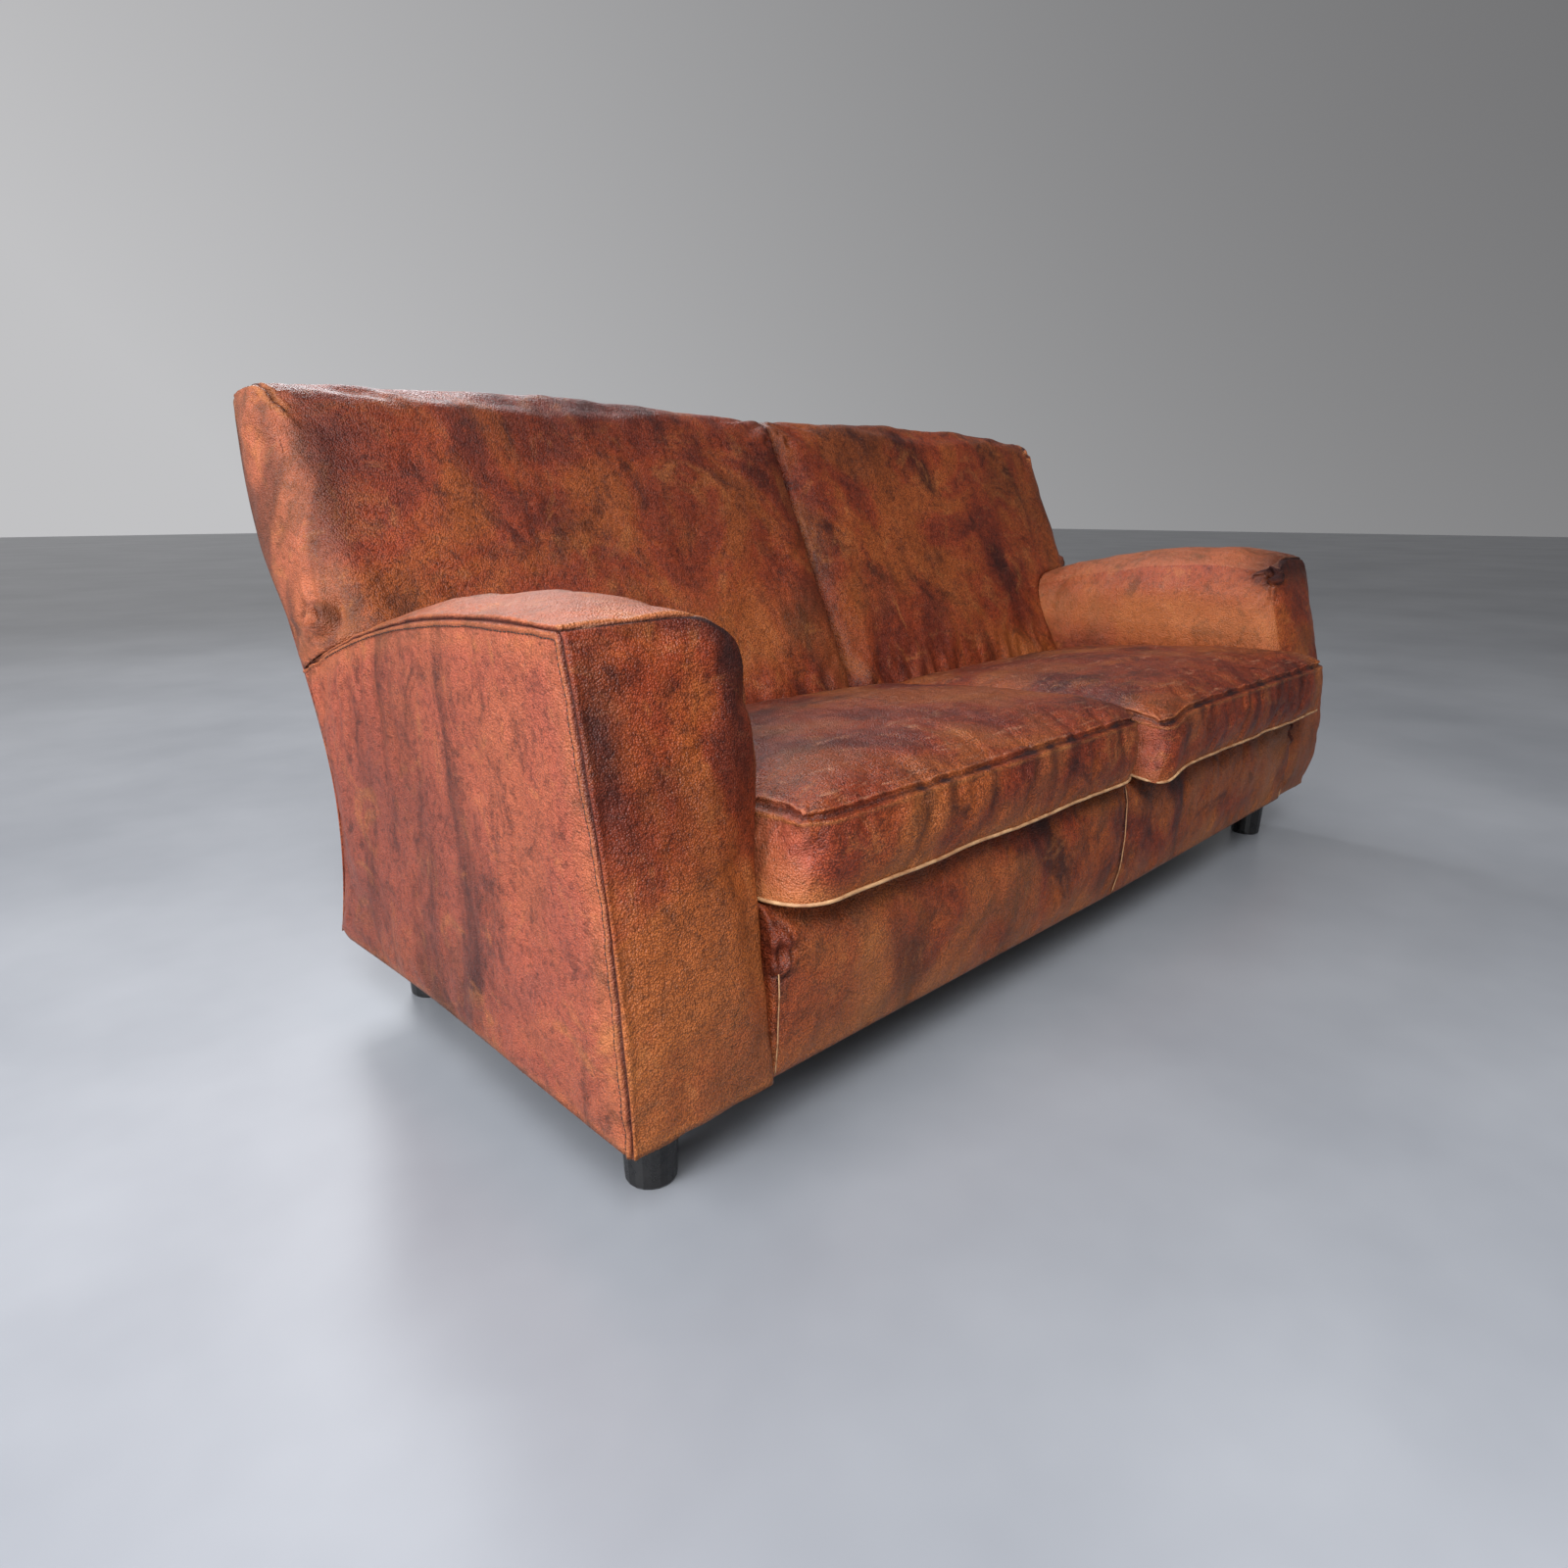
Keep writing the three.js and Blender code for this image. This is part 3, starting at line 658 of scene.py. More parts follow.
def build_seat(right):
    above, below = LIPS
    grid = [(6,), (6,), (5, [SEAT_THICK - above - 3, SEAT_THICK - below + 3, 0])]
    slack = {"cap": 16, "keep_swell": 0.3, "spare": 0.012}
    lattice, points = skin(SEAT_SIZE, grid, partial(seat_place, right=right), seat_sewn, **slack)
    dz = lattice.points[:, 2]
    seed = 41 if right else 47
    from_top = SEAT_THICK - dz
    rim = seat_rim(lattice.points)
    top = from_top <= 0
    uneven = 0.9 * field(points, 120, seed) + 0.45 * field(points, 38, seed + 1)
    relief = np.where(dz > 0, uneven, 0)
    sunk = smoothstep(from_top, above + 1, above + 4)
    sunk = sunk * (1 - smoothstep(from_top, below - 4, below - 1))
    relief -= rim * 3.0 * sunk
    relief += rim * (1.5 * bell(from_top, above, 2.5) + 1.8 * bell(from_top, below, 2.5))
    # Short pulls across the seam, and slack creases on top from years of sitting.
    pulls = field(points, 16, seed + 2, (1, 1, 4))
    relief += rim * 0.8 * pulls * (bell(from_top, 30, 14) + bell(from_top, 2, 8))
    rng = np.random.default_rng(seed + 3)
    for _ in range(16):
        centre = np.array([rng.uniform(80, 620), rng.uniform(SEAT_FRONT + 40, 40), 0])
        heading = np.array([1, rng.normal(0, 0.35), 0])
        half = heading * rng.uniform(35, 110)
        centre[2] = np.interp(centre[1], [SEAT_FRONT, 100], [428, 415])
        bow = np.array([0, rng.normal(0, 10), 0])
        line = [centre - half, centre + bow, centre + half]
        furrow = crease(points, line, rng.uniform(0.8, 2.0), rng.uniform(3.5, 7))
        relief += top * furrow
    points = raised(points, lattice.quads, relief)
    x, y, z = points.T
    limit = np.where(y > BESIDE_ARM_Y, arm_inner_x(z) - 1, 760)
    points[:, 0] = np.clip(x, 0.5, limit)
    return lattice, points


# ---- Apron and outside back ----

APRON_SIZE = (2 * APRON_HALF, 46, 196)
APRON_GATHER = np.array([APRON_HALF - 6, -397.0, 262])
APRON_GATHER_SIZE = np.array([7, 30, 15])


def apron_place(distances):
    left, front, bottom = distances.T
    top = APRON_SIZE[2] - bottom
    top, front = round_corner(top, front, 20)
    up = 1 - top / APRON_SIZE[2]
    z = lerp(HEM_Z, 311, up)
    face = np.interp(z, [116, 160, 215, 272, 300, 312], [-388, -395, -398, -396, -390, -382])
    side = left / APRON_SIZE[0]
    middle = arch(side)
    face -= (7 * middle**0.6 - 3) * smoothstep(z, 110, 180) + 6 * middle
    depth = front / APRON_SIZE[1]
    y = lerp(face, -345, depth)
    low = bottom <= 0
    z = np.where(low, HEM_Z + 8 * smoothstep(front, 8, 14), z)
    x = left - APRON_HALF
    return np.stack([x, y, z], 1)


def apron_sewn(distances):
    dx, dy, dz = distances.T
    ends = (dx <= 0) | (dx >= APRON_SIZE[0]) | (np.abs(dx - APRON_HALF) < 7)
    return ends | (dz <= 0) | (dy > 0)


def from_apron_gather(x, z, side):
    """Distance from the gather at one end of the apron, in the gather's own sizes."""
    place, size = APRON_GATHER, APRON_GATHER_SIZE
    return np.hypot((x - side * place[0]) / size[0], (z - place[2]) / size[2])


def build_apron():
    wide = APRON_SIZE[0]
    grid = [(6.5, [APRON_HALF, 9, 28, wide - 9, wide - 28]), (7,), (6,)]
    slack = {"cap": 7, "keep_swell": 0.3, "spare": 0.01, "cell": 11}
    lattice, points = skin(APRON_SIZE, grid, apron_place, apron_sewn, **slack)
    x, _, z = points.T
    face = np.where(lattice.points[:, 1] <= 0, smoothstep(z, HEM_Z - 1, HEM_Z + 12), 0)
    relief = 1.0 * field(points, 110, 61) + 0.5 * field(points, 40, 62)
    relief -= 2.6 * bell(x, 0, 2.2) - 1.0 * bell(x, 7, 5)
    # The gather beside each arm.
    for side in (-1, 1):
        gather = APRON_GATHER * (side, 1, 1)
        relief += eye(points, gather, APRON_GATHER_SIZE, 7, 4.5)
        spread = [(-side, 0, 0.55), (-side, 0, -0.65)]
        clear = 1 - bell(from_apron_gather(x, z, side), 0, 1.4)
        relief += clear * fan(points, gather, spread, 6, 120, 2.6, 6, 63 + side)
    pulls = field(points, 30, 72, (1, 1, 3))
    relief += 0.8 * pulls * smoothstep(z, 265, 300)
    return lattice, raised(points, lattice.quads, relief * face)


PANEL_SIZE = (2 * PANEL_HALF, 3, PANEL_TOP - HEM_Z)


def build_panel():
    xs = stations(PANEL_SIZE[0], 9, [8, PANEL_HALF, PANEL_SIZE[0] - 8])
    zs = stations(PANEL_SIZE[2], 9, [8, PANEL_SIZE[2] - 8])
    lattice = Lattice(xs, [0, PANEL_SIZE[1]], zs)
    dx, dy, dz = lattice.points.T
    z = HEM_Z + dz
    edge = np.minimum.reduce([dx, PANEL_SIZE[0] - dx, dz, PANEL_SIZE[2] - dz])
    thin = 1.6 * (1 - smoothstep(edge, 0, 7)) * dy / PANEL_SIZE[1]
    points = np.stack([dx - PANEL_HALF, rear_y(z) - PANEL_SIZE[1] + dy - thin, z], 1)
    relief = 1.6 * field(points, 220, 81) + 0.8 * field(points, 70, 82)
    relief *= smoothstep(edge, 4, 60)
    relief -= 1.0 * bell(edge, 9, 2.5) + 1.6 * bell(dx, PANEL_HALF, 2.2)
    relief += 0.7 * field(points, 26, 83, (1, 1, 5)) * bell(edge, 22, 16)
    points[:, 1] += np.where(dy > 0, relief, 0)
    return lattice, points


# ---- Leather pieces ----


# The marks: dirt and painted shade, worn gold and painted highlights, scuffs and painted sheen, a
# painted reflection in salmon, and pores.
MARKS = ("grime_and_shade", "wear_and_highlight", "scuff_and_sheen", "painted_reflection", "pores")


def add(name, points, quads, material, marks=(), right=True):
    """A piece riding on the sofa's one body, with its marks as attributes for the material."""
    if not right:
        points, quads = points * (-1, 1, 1), quads[:, ::-1]
    obj = bpy.data.objects.new(name, new_mesh(name, points, quads))
    scene.collection.objects.link(obj)
    for key, value in zip(MARKS, marks):
        attribute = obj.data.attributes.new(key, "FLOAT", "POINT")
        value = np.clip(np.broadcast_to(value, len(points)), 0, 1)
        attribute.data.foreach_set("value", value.astype(np.float32))
    obj.data.polygons.foreach_set("use_smooth", np.ones(len(obj.data.polygons), bool))
    obj.data.materials.append(material)
    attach(obj, "root")
    return obj


def tube(line, radius):
    """A round cord along a line, with eight sides, closed at both ends."""
    sides = 8
    ahead = np.gradient(line, axis=0)
    ahead /= np.linalg.norm(ahead, axis=1)[:, None]
    across = np.cross(ahead, (0.31, 0.43, 0.85))
    across /= np.linalg.norm(across, axis=1)[:, None]
    over = np.cross(ahead, across)
    size = np.full(len(line), float(radius))
    size[[0, -1]] *= 0.45
    turn = np.linspace(0, 2 * np.pi, sides, endpoint=False)
    ring = np.cos(turn)[None, :, None] * across[:, None]
    ring = ring + np.sin(turn)[None, :, None] * over[:, None]
    points = (line[:, None] + size[:, None, None] * ring).reshape(-1, 3)
    start = np.arange(len(line) - 1)[:, None] * sides
    here = np.arange(sides)[None]
    after = (here + 1) % sides
    quads = np.stack([start + here, start + after, start + sides + after, start + sides + here], -1)
    cap = np.array([[0, 3, 2, 1], [0, 7, 4, 3], [4, 7, 6, 5]])
    last = cap[:, ::-1] + (len(line) - 1) * sides
    return points, np.concatenate([quads.reshape(-1, 4), cap, last])


def evenly(line, step):
    """Points a step apart along a polyline."""
    lengths = np.concatenate([[0], np.cumsum(np.linalg.norm(np.diff(line, axis=0), axis=1))])
    places = np.arange(0, lengths[-1], step)
    return np.stack([np.interp(places, lengths, axis) for axis in line.T], 1)


def laid_on(points, quads, line, proud):
    """A line moved on to a leather surface, and then out from it by a little."""
    tree = BVHTree.FromPolygons([tuple(p) for p in points], [tuple(q) for q in quads])
    laid = []
    for point in line:
        place, normal, _, _ = tree.find_nearest(Vector(point))
        laid.append(place + normal * proud)
    return np.array(laid)


def stitches(points, quads, line):
    """A row of separate stitches along a line on a leather surface, as one mesh."""
    pitch, thread = 6.5, 0.65
    places = laid_on(points, quads, evenly(line, pitch / 4), 0.25)
    meshes = [tube(places[i : i + 4], thread) for i in range(0, len(places) - 3, 4)]
    counts = np.cumsum([0] + [len(part) for part, _ in meshes])
    shifted = [part + shift for (_, part), shift in zip(meshes, counts)]
    return np.concatenate([part for part, _ in meshes]), np.concatenate(shifted)


# ---- Materials ----


class Shader:
    """A material's node tree, with short calls for the nodes that are used here."""

    def __init__(self, name):
        self.material = bpy.data.materials.new(name)
        self.material.use_nodes = True
        self.nodes = self.material.node_tree.nodes
        self.links = self.material.node_tree.links
        self.surface = self.nodes["Principled BSDF"]
        self.place = self.node("TexCoord", {}, "Object")

    def set(self, socket, value):
        """Links another node's output to a socket, or gives it a value."""
        if isinstance(value, bpy.types.NodeSocket):
            self.links.new(value, socket)
        else:
            socket.default_value = value

    def node(self, kind, inputs, output, **settings):
        """Makes a node and gives one of its outputs."""
        made = self.nodes.new("ShaderNode" + kind)
        for key, value in settings.items():
            setattr(made, key, value)
        for key, value in inputs.items():
            self.set(made.inputs[key], value)
        return made.outputs[output]

    def moved(self, offset=(0, 0, 0), scale=(1, 1, 1)):
        inputs = {"Vector": self.place, "Location": offset, "Scale": scale}
        return self.node("Mapping", inputs, "Vector")

    def noise(self, vector, scale, detail=4, roughness=0.55, distortion=0):
        inputs = {"Vector": vector, "Scale": scale, "Detail": detail}
        inputs |= {"Roughness": roughness, "Distortion": distortion}
        return self.node("TexNoise", inputs, "Fac")

    def cells(self, vector, scale, feature="F1"):
        inputs = {"Vector": vector, "Scale": scale}
        return self.node("TexVoronoi", inputs, "Distance", feature=feature)

    def attribute(self, name):
        return self.node("Attribute", {}, "Fac", attribute_name=name)

    def spread(self, value, low, high, out_low=0, out_high=1):
        """Maps the range low to high on to another, with smooth ends."""
        inputs = {"Value": value, "From Min": low, "From Max": high}
        inputs |= {"To Min": out_low, "To Max": out_high}
        return self.node("MapRange", inputs, "Result", interpolation_type="SMOOTHSTEP")

    def math(self, operation, a, b):
        return self.node("Math", {0: a, 1: b}, "Value", operation=operation)

    def ramp(self, value, stops):
        node = self.nodes.new("ShaderNodeValToRGB")
        self.links.new(value, node.inputs["Fac"])
        elements = node.color_ramp.elements
        while len(elements) < len(stops):
            elements.new(0.5)
        for element, (position, colour) in zip(elements, stops):
            element.position = position
            element.color = (*colour, 1)
        return node.outputs["Color"]

    def mix(self, factor, a, b, blend="MIX"):
        a, b = (v if isinstance(v, bpy.types.NodeSocket) else (*v, 1) for v in (a, b))
        inputs = {"Factor": factor, "A": a, "B": b}
        return self.node("Mix", inputs, "Result", data_type="RGBA", blend_type=blend)

    def bump(self, height, depth, below=None):
        """The normal of relief of a depth in metres, laid over the relief below it."""
        inputs = {"Strength": 1, "Distance": depth, "Height": height}
        if below is not None:
            inputs["Normal"] = below
        return self.node("Bump", inputs, "Normal")

    def coat(self, **inputs):
        """Sets the surface's inputs, named without capitals or spaces."""
        for key, value in inputs.items():
            self.set(self.surface.inputs[key.replace("_", " ").title()], value)


RUST = (0.16, 0.022, 0.008)
COGNAC = (0.30, 0.046, 0.011)
AMBER = (0.37, 0.088, 0.016)
# The salmon colour is a painted reflection of the lamps on faces turned towards them.
REFLECTED_SALMON = (0.38, 0.094, 0.056)
UMBER = (0.030, 0.006, 0.005)
GOLD = (0.50, 0.18, 0.050)
# This colour goes on scuffs, and also on upward faces as a painted light sheen.
SCUFF_AND_SHEEN = (0.45, 0.20, 0.11)


def leather(name, seed, streaks=(1, 1, 1)):
    """Sponge-dyed leather, darkened in patches, with pebbled grain, worn and scratched, and with
    painted shade, highlights, sheen and reflection laid on from its marks.
    """
    s = Shader(name)
    offset = (seed * 1.37, seed * 2.11, seed * 0.73)
    base = s.moved(offset)
    clouds = s.noise(base, 4.2, 5, 0.6, 0.7)
    tone = s.ramp(clouds, [(0.39, RUST), (0.48, COGNAC), (0.58, AMBER)])
    # Faces are mixed towards salmon by their share of painted reflection.
    tone = s.mix(s.attribute("painted_reflection"), tone, REFLECTED_SALMON)
    brushed = s.noise(s.moved(offset, streaks), 8, 7, 0.66, 0.5)
    tone = s.mix(s.spread(brushed, 0.5, 0.7, 0, 0.85), tone, UMBER)
    sponge = s.noise(base, 12, 8, 0.7, 1.3)
    tone = s.mix(s.spread(sponge, 0.52, 0.68, 0, 0.65), tone, UMBER)
    tone = s.mix(s.spread(sponge, 0.3, 0.47, 0.45, 0), tone, GOLD)
    blot = s.noise(base, 110, 6, 0.75, 0.6)
    tone = s.mix(s.spread(blot, 0.46, 0.66, 0, 0.55), tone, UMBER)
    # Gold for worn places and painted highlights, umber for dirt and painted shade.
    tone = s.mix(s.attribute("wear_and_highlight"), tone, GOLD)
    tone = s.mix(s.attribute("grime_and_shade"), tone, UMBER)
    # Light scratches: partly real scuffs, and on the tops a painted sheen.
    scratch = s.noise(s.moved(offset, (1, 5, 30)), 12, 5, 0.7, 0.4)
    scuff_and_sheen_share = s.math("MULTIPLY", s.spread(scratch, 0.55, 0.7), s.attribute("scuff_and_sheen"))
    tone = s.mix(scuff_and_sheen_share, tone, SCUFF_AND_SHEEN)
    grain = s.cells(base, 480)
    pores = s.spread(grain, 0.25, 0.7)
    dark = s.mix(1.0, tone, (0.30, 0.24, 0.24), "MULTIPLY")
    tone = s.mix(s.math("MULTIPLY", pores, s.attribute("pores")), tone, dark)
    gloss = s.noise(base, 22, 5, 0.6)
    polish = s.spread(gloss, 0.3, 0.7, 0.36, 0.52)
    dull = s.spread(s.attribute("grime_and_shade"), 0.7, 0.95, 0.3, 0.85)
    wrinkle = s.cells(s.moved(offset, (1, 1.1, 0.9)), 95, "DISTANCE_TO_EDGE")
    lines = s.bump(s.spread(wrinkle, 0.0, 0.16), 0.0003)
    soft = s.bump(s.noise(base, 70, 6, 0.6, 0.3), 0.002, lines)
    normal = s.bump(s.math("SUBTRACT", 1.0, grain), 0.0011, soft)
    s.coat(base_color=tone, roughness=s.math("MAXIMUM", polish, dull), normal=normal)
    s.surface.inputs["Specular IOR Level"].default_value = 0.28
    return s.material


def plain_finish(name, colours, scale, roughness, depth, stretch=(1, 1, 1), metallic=0.0):
    """Wood, metal or cloth: two colours mixed by stretched noise, with matching relief."""
    s = Shader(name)
    pattern = s.noise(s.moved((0.3, 0.7, 0.2), stretch), scale, 6, 0.6, 0.4)
    tone = s.ramp(pattern, [(0.35, colours[0]), (0.65, colours[1])])
    rough = s.spread(pattern, 0.3, 0.7, *roughness)
    s.coat(base_color=tone, roughness=rough, normal=s.bump(pattern, depth), metallic=metallic)
    return s.material


# ---- Trim ----


def arm_trim(points, quads, right):
    """The stitching beside the felled seam, up the front edge and back along the top edge."""
    up = [(ARM_SIZE[0], STITCH_LINE, z) for z in np.linspace(6, ARM_SIZE[2] - STITCH_LINE, 60)]
    back = [(ARM_SIZE[0], y, ARM_SIZE[2] - STITCH_LINE) for y in np.linspace(STITCH_LINE, 600, 60)]
    line = arm_place(np.array(up + back[1:], float), right)
    return "stitches", "thread", stitches(points, quads, line)


def seat_trim(points, quads, right):
    """The light-coloured welt round the underside."""
    wide, deep = SEAT_SIZE[0], SEAT_SIZE[1]
    front = [(x, 0, 2) for x in np.linspace(0, wide, 110)]
    outer = [(wide, y, 2) for y in np.linspace(0, deep, 80)]
    rear = [(x, deep, 2) for x in np.linspace(wide, 0, 90)]
    inner = [(0, y, 2) for y in np.linspace(deep, 0, 80)]
    line = seat_place(np.array(front + outer[1:] + rear[1:] + inner[1:-1], float), right)
    line = laid_on(points, quads, evenly(line, 7), 1.4)
    for _ in range(3):
        line[1:-1] = (line[:-2] + 2 * line[1:-1] + line[2:]) / 4
    return "welt", "welt_leather", tube(line, 2.2)


# ---- Worn places, dirt and painted light of each piece ----
# Each painter gives a piece's marks, in the order of MARKS, as shares from 0 to 1.


def paint_arm(points, lattice, right):
    _, y, z = points.T
    dx, dy, dz = lattice.points.T
    side = dx >= ARM_SIZE[0]
    front = dy <= 0
    from_outer = ARM_SIZE[0] - dx
    if right:
        grime_and_shade = 0.9 * bell(z, 592, 44) * bell(y, -335, 70)
        pinch = np.linalg.norm((points - nearest(points, PINCH)) / PINCH_SIZE, axis=1)
        grime_and_shade += 0.7 * bell(pinch, 0, 0.9) + 0.4 * bell(pinch, 2, 0.4)
    else:
        inner_corner = bell(dx, 6, 34) * bell(z, 555, 42)
        inner_corner += 0.5 * bell(z, 606, 16) * smoothstep(from_outer, 10, 60)
        outer_edge = bell(from_outer, 16, 20) * bell(z, 510, 95)
        behind = 0.35 * bell(dx, 0, 20) * bell(y, -350, 60)
        grime_and_shade = np.where(front, 0.85 * inner_corner + 0.75 * outer_edge, behind)
    edge = np.minimum(dy, ARM_SIZE[2] - dz)
    grime_and_shade += side * 0.95 * bell(edge, FELL, 2.6)
    top = dz >= ARM_SIZE[2]
    top_edge = np.where(top, dy, np.where(front, ARM_SIZE[2] - dz, 99))
    grime_and_shade += 0.95 * bell(top_edge, 0.5, 2.4) * smoothstep(dx, 10, 40)
    blotch = smoothstep(field(points, 110, 95 + right, (1, 1, 1.6)), 0.4, 1.3)
    grime_and_shade += front * 0.4 * blotch * smoothstep(z, 330, 480)
    wear_and_highlight = np.where(front, 0.35 * (1 - smoothstep(z, 150, 460)), 0)
    wear_and_highlight += 0.25 * (1 - smoothstep(z, 116, 135))
    wear_and_highlight += side * (0.3 * bell(edge, 8, 3) + 0.15 * bell(edge, 22, 14))
    wear_and_highlight += top * 0.35 * bell(dy, 7, 4)
    # Painted shade on the side panel: low towards the rear, and in its middle.
    side_panel_shade = bell(z, 170, 120) * smoothstep(y, -250, 60)
    side_panel_shade += bell(np.hypot(y - 60, z - 420), 0, 110)
    grime_and_shade += side * 0.28 * side_panel_shade
    inner = dx <= 0
    # Gold in a band on the inner side. On the top, the gold, the light scratches and the salmon share
    # are a painted sheen and reflection; the salmon shares of the other faces are painted reflection
    # too.
    wear_and_highlight += inner * 0.4 * bell(z, 480, 60) + top * 0.25
    scuff_and_sheen = np.where(side, 0.15, np.where(top, 0.7, 0.1))
    painted_reflection = np.where(side, 0.65, np.where(front, 0.05, np.where(top, 0.6, 0.3)))
    pores = np.where(side, 0.35, np.where(front, 0.6, 0.4))
    return grime_and_shade, wear_and_highlight, scuff_and_sheen, painted_reflection, pores


def paint_back(points, lattice, right):
    x, _, z = points.T
    patches = 0.5 + 0.5 * np.clip(field(points, 260, 91 + right), -1, 1)
    end = smoothstep(x, 850, 905)
    grime_and_shade = 0.45 * patches * smoothstep(z, 560, 800) * (1 - end)
    grime_and_shade += 0.35 * bell(x, 870, 28) * bell(z, 740, 90) + 0.3 * (1 - smoothstep(x, 0, 60))
    gather = np.linalg.norm((points - nearest(points, GATHER)) / GATHER_SIZE, axis=1)
    grime_and_shade += 0.8 * bell(gather, 0, 0.7) + 0.5 * bell(gather, 2.0, 0.35)
    distance, _ = from_line(points, laid_on(points, lattice.quads, evenly(END_SEAM, 5), 0))
    grime_and_shade += 0.95 * bell(distance, 0, 4)
    grime_and_shade += 0.5 * end * smoothstep(field(points, 90, 94, (1, 1, 2)), 0.2, 1.3)
    wear_and_highlight = 0.4 * bell(distance, 7, 3)
    # Gold in patches low down. The end face is painted paler, as a reflection of the light from the
    # side: more gold and a large salmon share; it also has fewer dark pores.
    wear_and_highlight += 0.25 * (1 - patches) * (1 - smoothstep(z, 420, 650)) + 0.2 * end
    return grime_and_shade, wear_and_highlight, 0.15, 0.08 + 0.7 * end, 0.75 - 0.4 * end


def paint_seat(points, lattice, right):
    dx, dy, dz = lattice.points.T
    top = dz >= SEAT_SIZE[2]
    from_top = SEAT_SIZE[2] - dz
    # Tops a little darker all over; painted shade in the sunk band below the top edge.
    grime_and_shade = np.where(top, 0.24, 0.75 * bell(from_top, sum(LIPS) / 2, 4))
    wear_and_highlight = np.where(~top, 0.3 * (1 - smoothstep(dz, 0, 30)), 0)
    patchy = 0.5 + 0.5 * np.clip(field(points, 60, 98), -1, 1)
    # Gold on the two lips: a painted highlight along their raised edges, and patchy worn places.
    lips = 0.5 * bell(from_top, LIPS[1] + 1, 1.8) + 0.25 * bell(from_top, LIPS[0] - 2, 2)
    wear_and_highlight += np.where(~top, lips * lerp(0.4, 1.1, patchy), 0)
    streaks = np.clip(field(points, 34, 96 + right, (1, 1, 6)), 0, 1.4) * smoothstep(dz, 5, 60)
    grime_and_shade += np.where(dy <= 0, 0.4 * streaks, 0)
    gold = smoothstep(field(points, 150, 97 + right), 0.2, 1.4)
    wear_and_highlight += np.where(top, 0.22 * gold, 0.3 * gold)
    sides = (dx <= 0) | (dx >= SEAT_SIZE[0])
    # The sides' salmon share is a painted reflection; on the tops, the light scratches are partly a
    # painted sheen.
    painted_reflection = np.where(sides, 0.6, np.where(top, 0.1, 0.08))
    scuff_and_sheen = np.where(top, 0.6, 0.2)
    pores = np.where(sides, 0.4, 0.75)
    return grime_and_shade, wear_and_highlight, scuff_and_sheen, painted_reflection, pores


def paint_apron(points):
    x, _, z = points.T
    # A painted highlight on the left side of the middle seam's groove, and painted shade on its right;
    # gold along the hem too.
    wear_and_highlight = 0.3 * (1 - smoothstep(z, 120, 180)) + 0.8 * bell(x, -2, 1.5)
    grime_and_shade = 0.7 * bell(x, 2, 1.8)
    for side in (-1, 1):
        away = from_apron_gather(x, z, side)
        grime_and_shade += 0.85 * bell(away, 0, 0.6)
        grime_and_shade += 0.45 * bell(away, 1.2, 0.5) + 0.5 * bell(away, 2.0, 0.3)
        wear_and_highlight += 0.25 * bell(x, side * 640, 150) * (1 - bell(away, 0, 3))
    wear_and_highlight += 0.3 * smoothstep(field(points, 170, 99), 0.1, 1.2)
    # A small salmon share, as painted reflection.
    return grime_and_shade, wear_and_highlight, 0.1, 0.05, 0.7


def paint_panel(points):
    z = points[:, 2]
    grime_and_shade = 0.15 * smoothstep(z, 500, 800)
    wear_and_highlight = 0.2 * (1 - smoothstep(z, 116, 200))
    # Its salmon share is a painted reflection.
    return grime_and_shade, wear_and_highlight, 0.2, 0.45, 0.5


# ---- Assembly ----

# How each unit is built, painted and trimmed, its leather's seed and streaks, and its fill.
UNITS = {
    "arm": (build_arm, paint_arm, arm_trim, 1, (1, 1, 0.3), 0.9),
    "back": (build_back, paint_back, None, 2, (1, 1, 0.5), 0.8),
    "seat": (build_seat, paint_seat, seat_trim, 3, (0.45, 1, 0.35), 0.65),
}

# Name, two colours, scale of the pattern, range of roughness, and depth of the relief.
FINISHES = [
    ("welt_leather", [(0.26, 0.11, 0.045), (0.50, 0.29, 0.14)], 55, (0.45, 0.65), 0.0004),
    ("thread", [(0.012, 0.006, 0.005), (0.03, 0.014, 0.010)], 900, (0.6, 0.8), 0.0001),
    ("beech", [(0.36, 0.22, 0.12), (0.52, 0.36, 0.22)], 14, (0.55, 0.75), 0.0006, (0.15, 1, 1)),
    ("board", [(0.30, 0.21, 0.13), (0.46, 0.34, 0.22)], 60, (0.7, 0.9), 0.0006),
    ("webbing", [(0.012, 0.011, 0.010), (0.05, 0.045, 0.04)], 300, (0.8, 0.95), 0.0006, (1, 1, 0.2)),
    ("felt", [(0.20, 0.19, 0.17), (0.33, 0.31, 0.28)], 220, (0.85, 0.98), 0.001),
    ("dust_cloth", [(0.006, 0.006, 0.006), (0.02, 0.02, 0.02)], 500, (0.85, 0.98), 0.0005),
    ("foot_lacquer", [(0.004, 0.004, 0.004), (0.014, 0.013, 0.013)], 45, (0.22, 0.4), 0.0003),
    ("spring_steel", [(0.35, 0.35, 0.36), (0.55, 0.55, 0.56)], 40, (0.25, 0.45), 0.0002, (1, 1, 1), 1),
]

# The finish of the CAD nodes that show as they are, by the first of these in their names.
NODE_FINISHES = {
    "foot_bolt": "spring_steel",
    "_foot": "foot_lacquer",
    "seat_spring": "spring_steel",
    "back_strap": "webbing",
    "seat_deck": "felt",
    "dust_cover": "dust_cloth",
    "side_board": "board",
    "wing_board": "board",
    "": "beech",
}


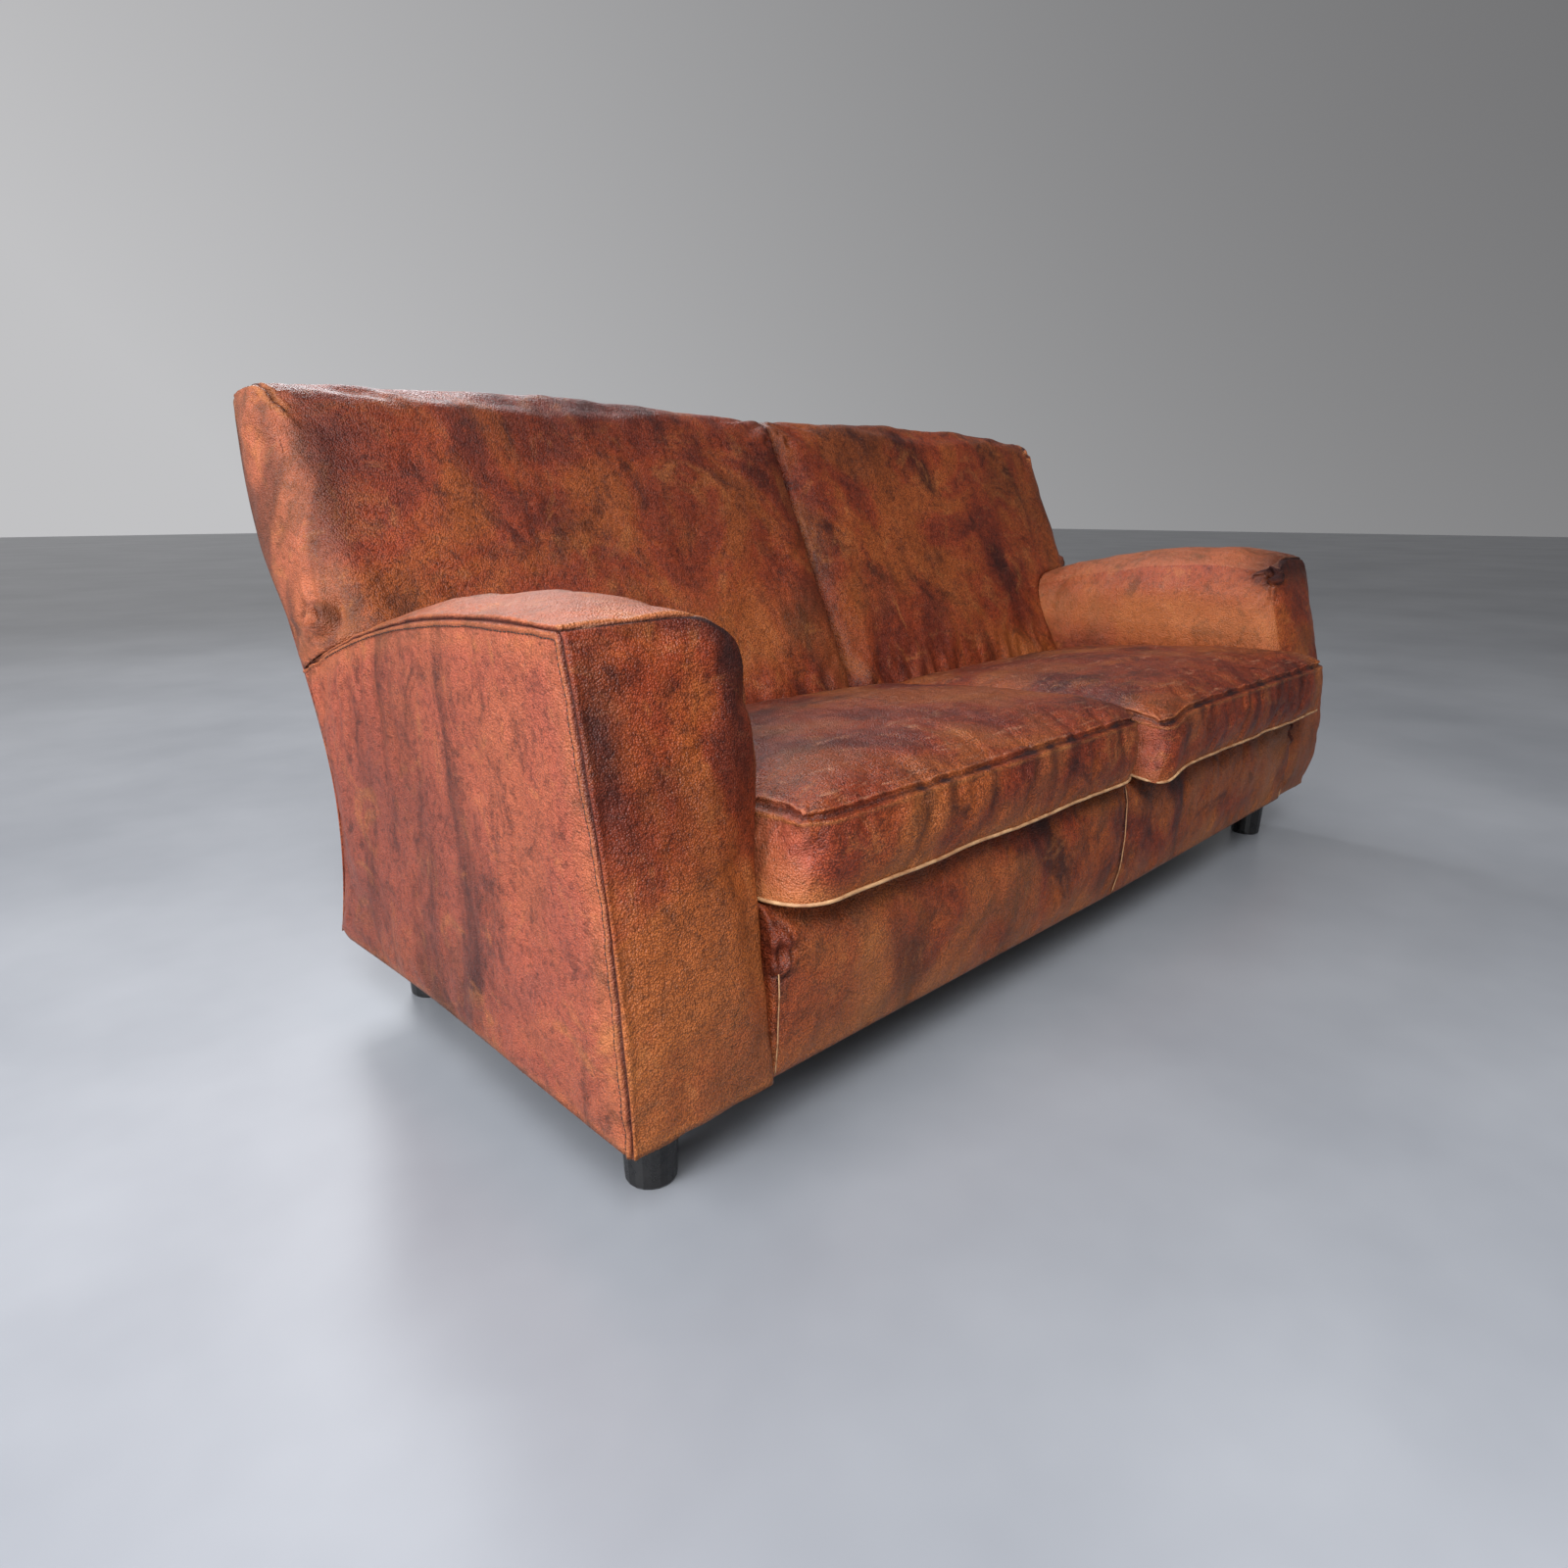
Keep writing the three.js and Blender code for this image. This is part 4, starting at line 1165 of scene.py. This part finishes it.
def build_unit(kind, right, finishes):
    builder, painter, trimmer, seed, streaks, fill = UNITS[kind]
    unit = f"{'right' if right else 'left'}_{kind}"
    lattice, points = builder(right)
    marks = painter(points, lattice, right)
    material = leather(f"{unit}_leather", seed + (10 if right else 0), streaks)
    obj = add(f"{unit}_leather", points, lattice.quads, material, marks, right)
    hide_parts(f"{unit}_cover", f"{unit}_foam")
    if trimmer:
        part, finish, mesh = trimmer(points, lattice.quads, right)
        add(f"{unit}_{part}", *mesh, finishes[finish], right=right)


def build(finishes):
    for right in (False, True):
        for kind in UNITS:
            build_unit(kind, right, finishes)

    lattice, points = build_apron()
    material = leather("apron_leather", 21, (1, 1, 0.5))
    obj = add("apron_leather", points, lattice.quads, material, paint_apron(points))
    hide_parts("apron_cover", "apron_foam")
    # A cord down the seam beside each arm, and one down the middle seam.
    cords = {
        "left": (3, 128, 0.2),
        "middle": (APRON_HALF - 1, 180, 0.5),
        "right": (APRON_SIZE[0] - 3, 128, 0.2),
    }
    for key, (from_left, top, proud) in cords.items():
        places = [(from_left, 0, up) for up in np.linspace(3, top, 24)]
        line = apron_place(np.array(places, float))
        line[:, 1] -= proud
        add(f"apron_{key}_cord", *tube(line, 0.8), finishes["welt_leather"])

    lattice, points = build_panel()
    material = leather("outside_back_leather", 26, (1, 1, 0.3))
    obj = add("outside_back_leather", points, lattice.quads, material, paint_panel(points))
    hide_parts("outside_back")


def finish_nodes(finishes):
    for name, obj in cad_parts.items():
        if not obj.hide_render:
            finish = next(found for key, found in NODE_FINISHES.items() if key in name)
            obj.data.materials.clear()
            obj.data.materials.append(finishes[finish])


# ---- Stage ----


def make_floor():
    bpy.ops.mesh.primitive_plane_add(size=60)
    floor = bpy.context.object
    floor.name = "floor"
    s = Shader("floor")
    stains = s.noise(s.moved(), 0.9, 5, 0.6)
    tone = s.ramp(stains, [(0.35, (0.23, 0.24, 0.26)), (0.65, (0.31, 0.32, 0.34))])
    s.coat(base_color=tone, roughness=0.32)
    floor.data.materials.append(s.material)


def make_world():
    """Soft light from all round, weaker from the side where the room is darkest."""
    world = bpy.data.worlds.new("studio")
    world.use_nodes = True
    tree = world.node_tree
    direction = tree.nodes.new("ShaderNodeTexCoord")
    towards = tree.nodes.new("ShaderNodeVectorMath")
    towards.operation = "DOT_PRODUCT"
    towards.inputs[1].default_value = (0.75, -0.35, 0.6)
    shade = tree.nodes.new("ShaderNodeMapRange")
    for socket, value in zip(list(shade.inputs)[1:5], (-0.1, 0.95, 0.55, 0.13)):
        socket.default_value = value
    background = tree.nodes["Background"]
    tree.links.new(direction.outputs["Generated"], towards.inputs[0])
    tree.links.new(towards.outputs["Value"], shade.inputs["Value"])
    tree.links.new(shade.outputs["Result"], background.inputs["Strength"])
    background.inputs["Color"].default_value = (0.98, 0.98, 1, 1)
    scene.world = world
    scene.view_settings.view_transform = "Standard"


def make_lamps():
    lamps = [
        ("key", (-3.8, -0.4, 2.1), (0, 0, 0.4), 2.2, 165),
        ("back", (0.6, 3.2, 3.6), (-0.5, 0, 0.5), 1.8, 120),
        ("fill", (-2.1, -2.0, 2.6), (-0.7, -0.3, 0.3), 1.2, 120),
    ]
    for name, place, aim, size, power in lamps:
        light = bpy.data.lights.new(name, "AREA")
        light.size = size
        light.energy = power
        light.color = (0.94, 0.96, 1.0)
        lamp = bpy.data.objects.new(name, light)
        lamp.location = place
        lamp.rotation_euler = (Vector(aim) - Vector(place)).to_track_quat("-Z", "Y").to_euler()
        scene.collection.objects.link(lamp)


def make_camera():
    camera = bpy.data.objects.new("camera", bpy.data.cameras.new("camera"))
    camera.data.sensor_width = 36
    camera.data.lens = 22.57
    camera.location = (-1.392, -1.053, 0.705)
    camera.rotation_euler = (math.radians(90 - 15.71), 0, math.radians(-45.04))
    scene.collection.objects.link(camera)
    scene.camera = camera


make_camera()
make_floor()
make_world()
make_lamps()
finishes = {name: plain_finish(name, *rest) for name, *rest in FINISHES}
build(finishes)
finish_nodes(finishes)
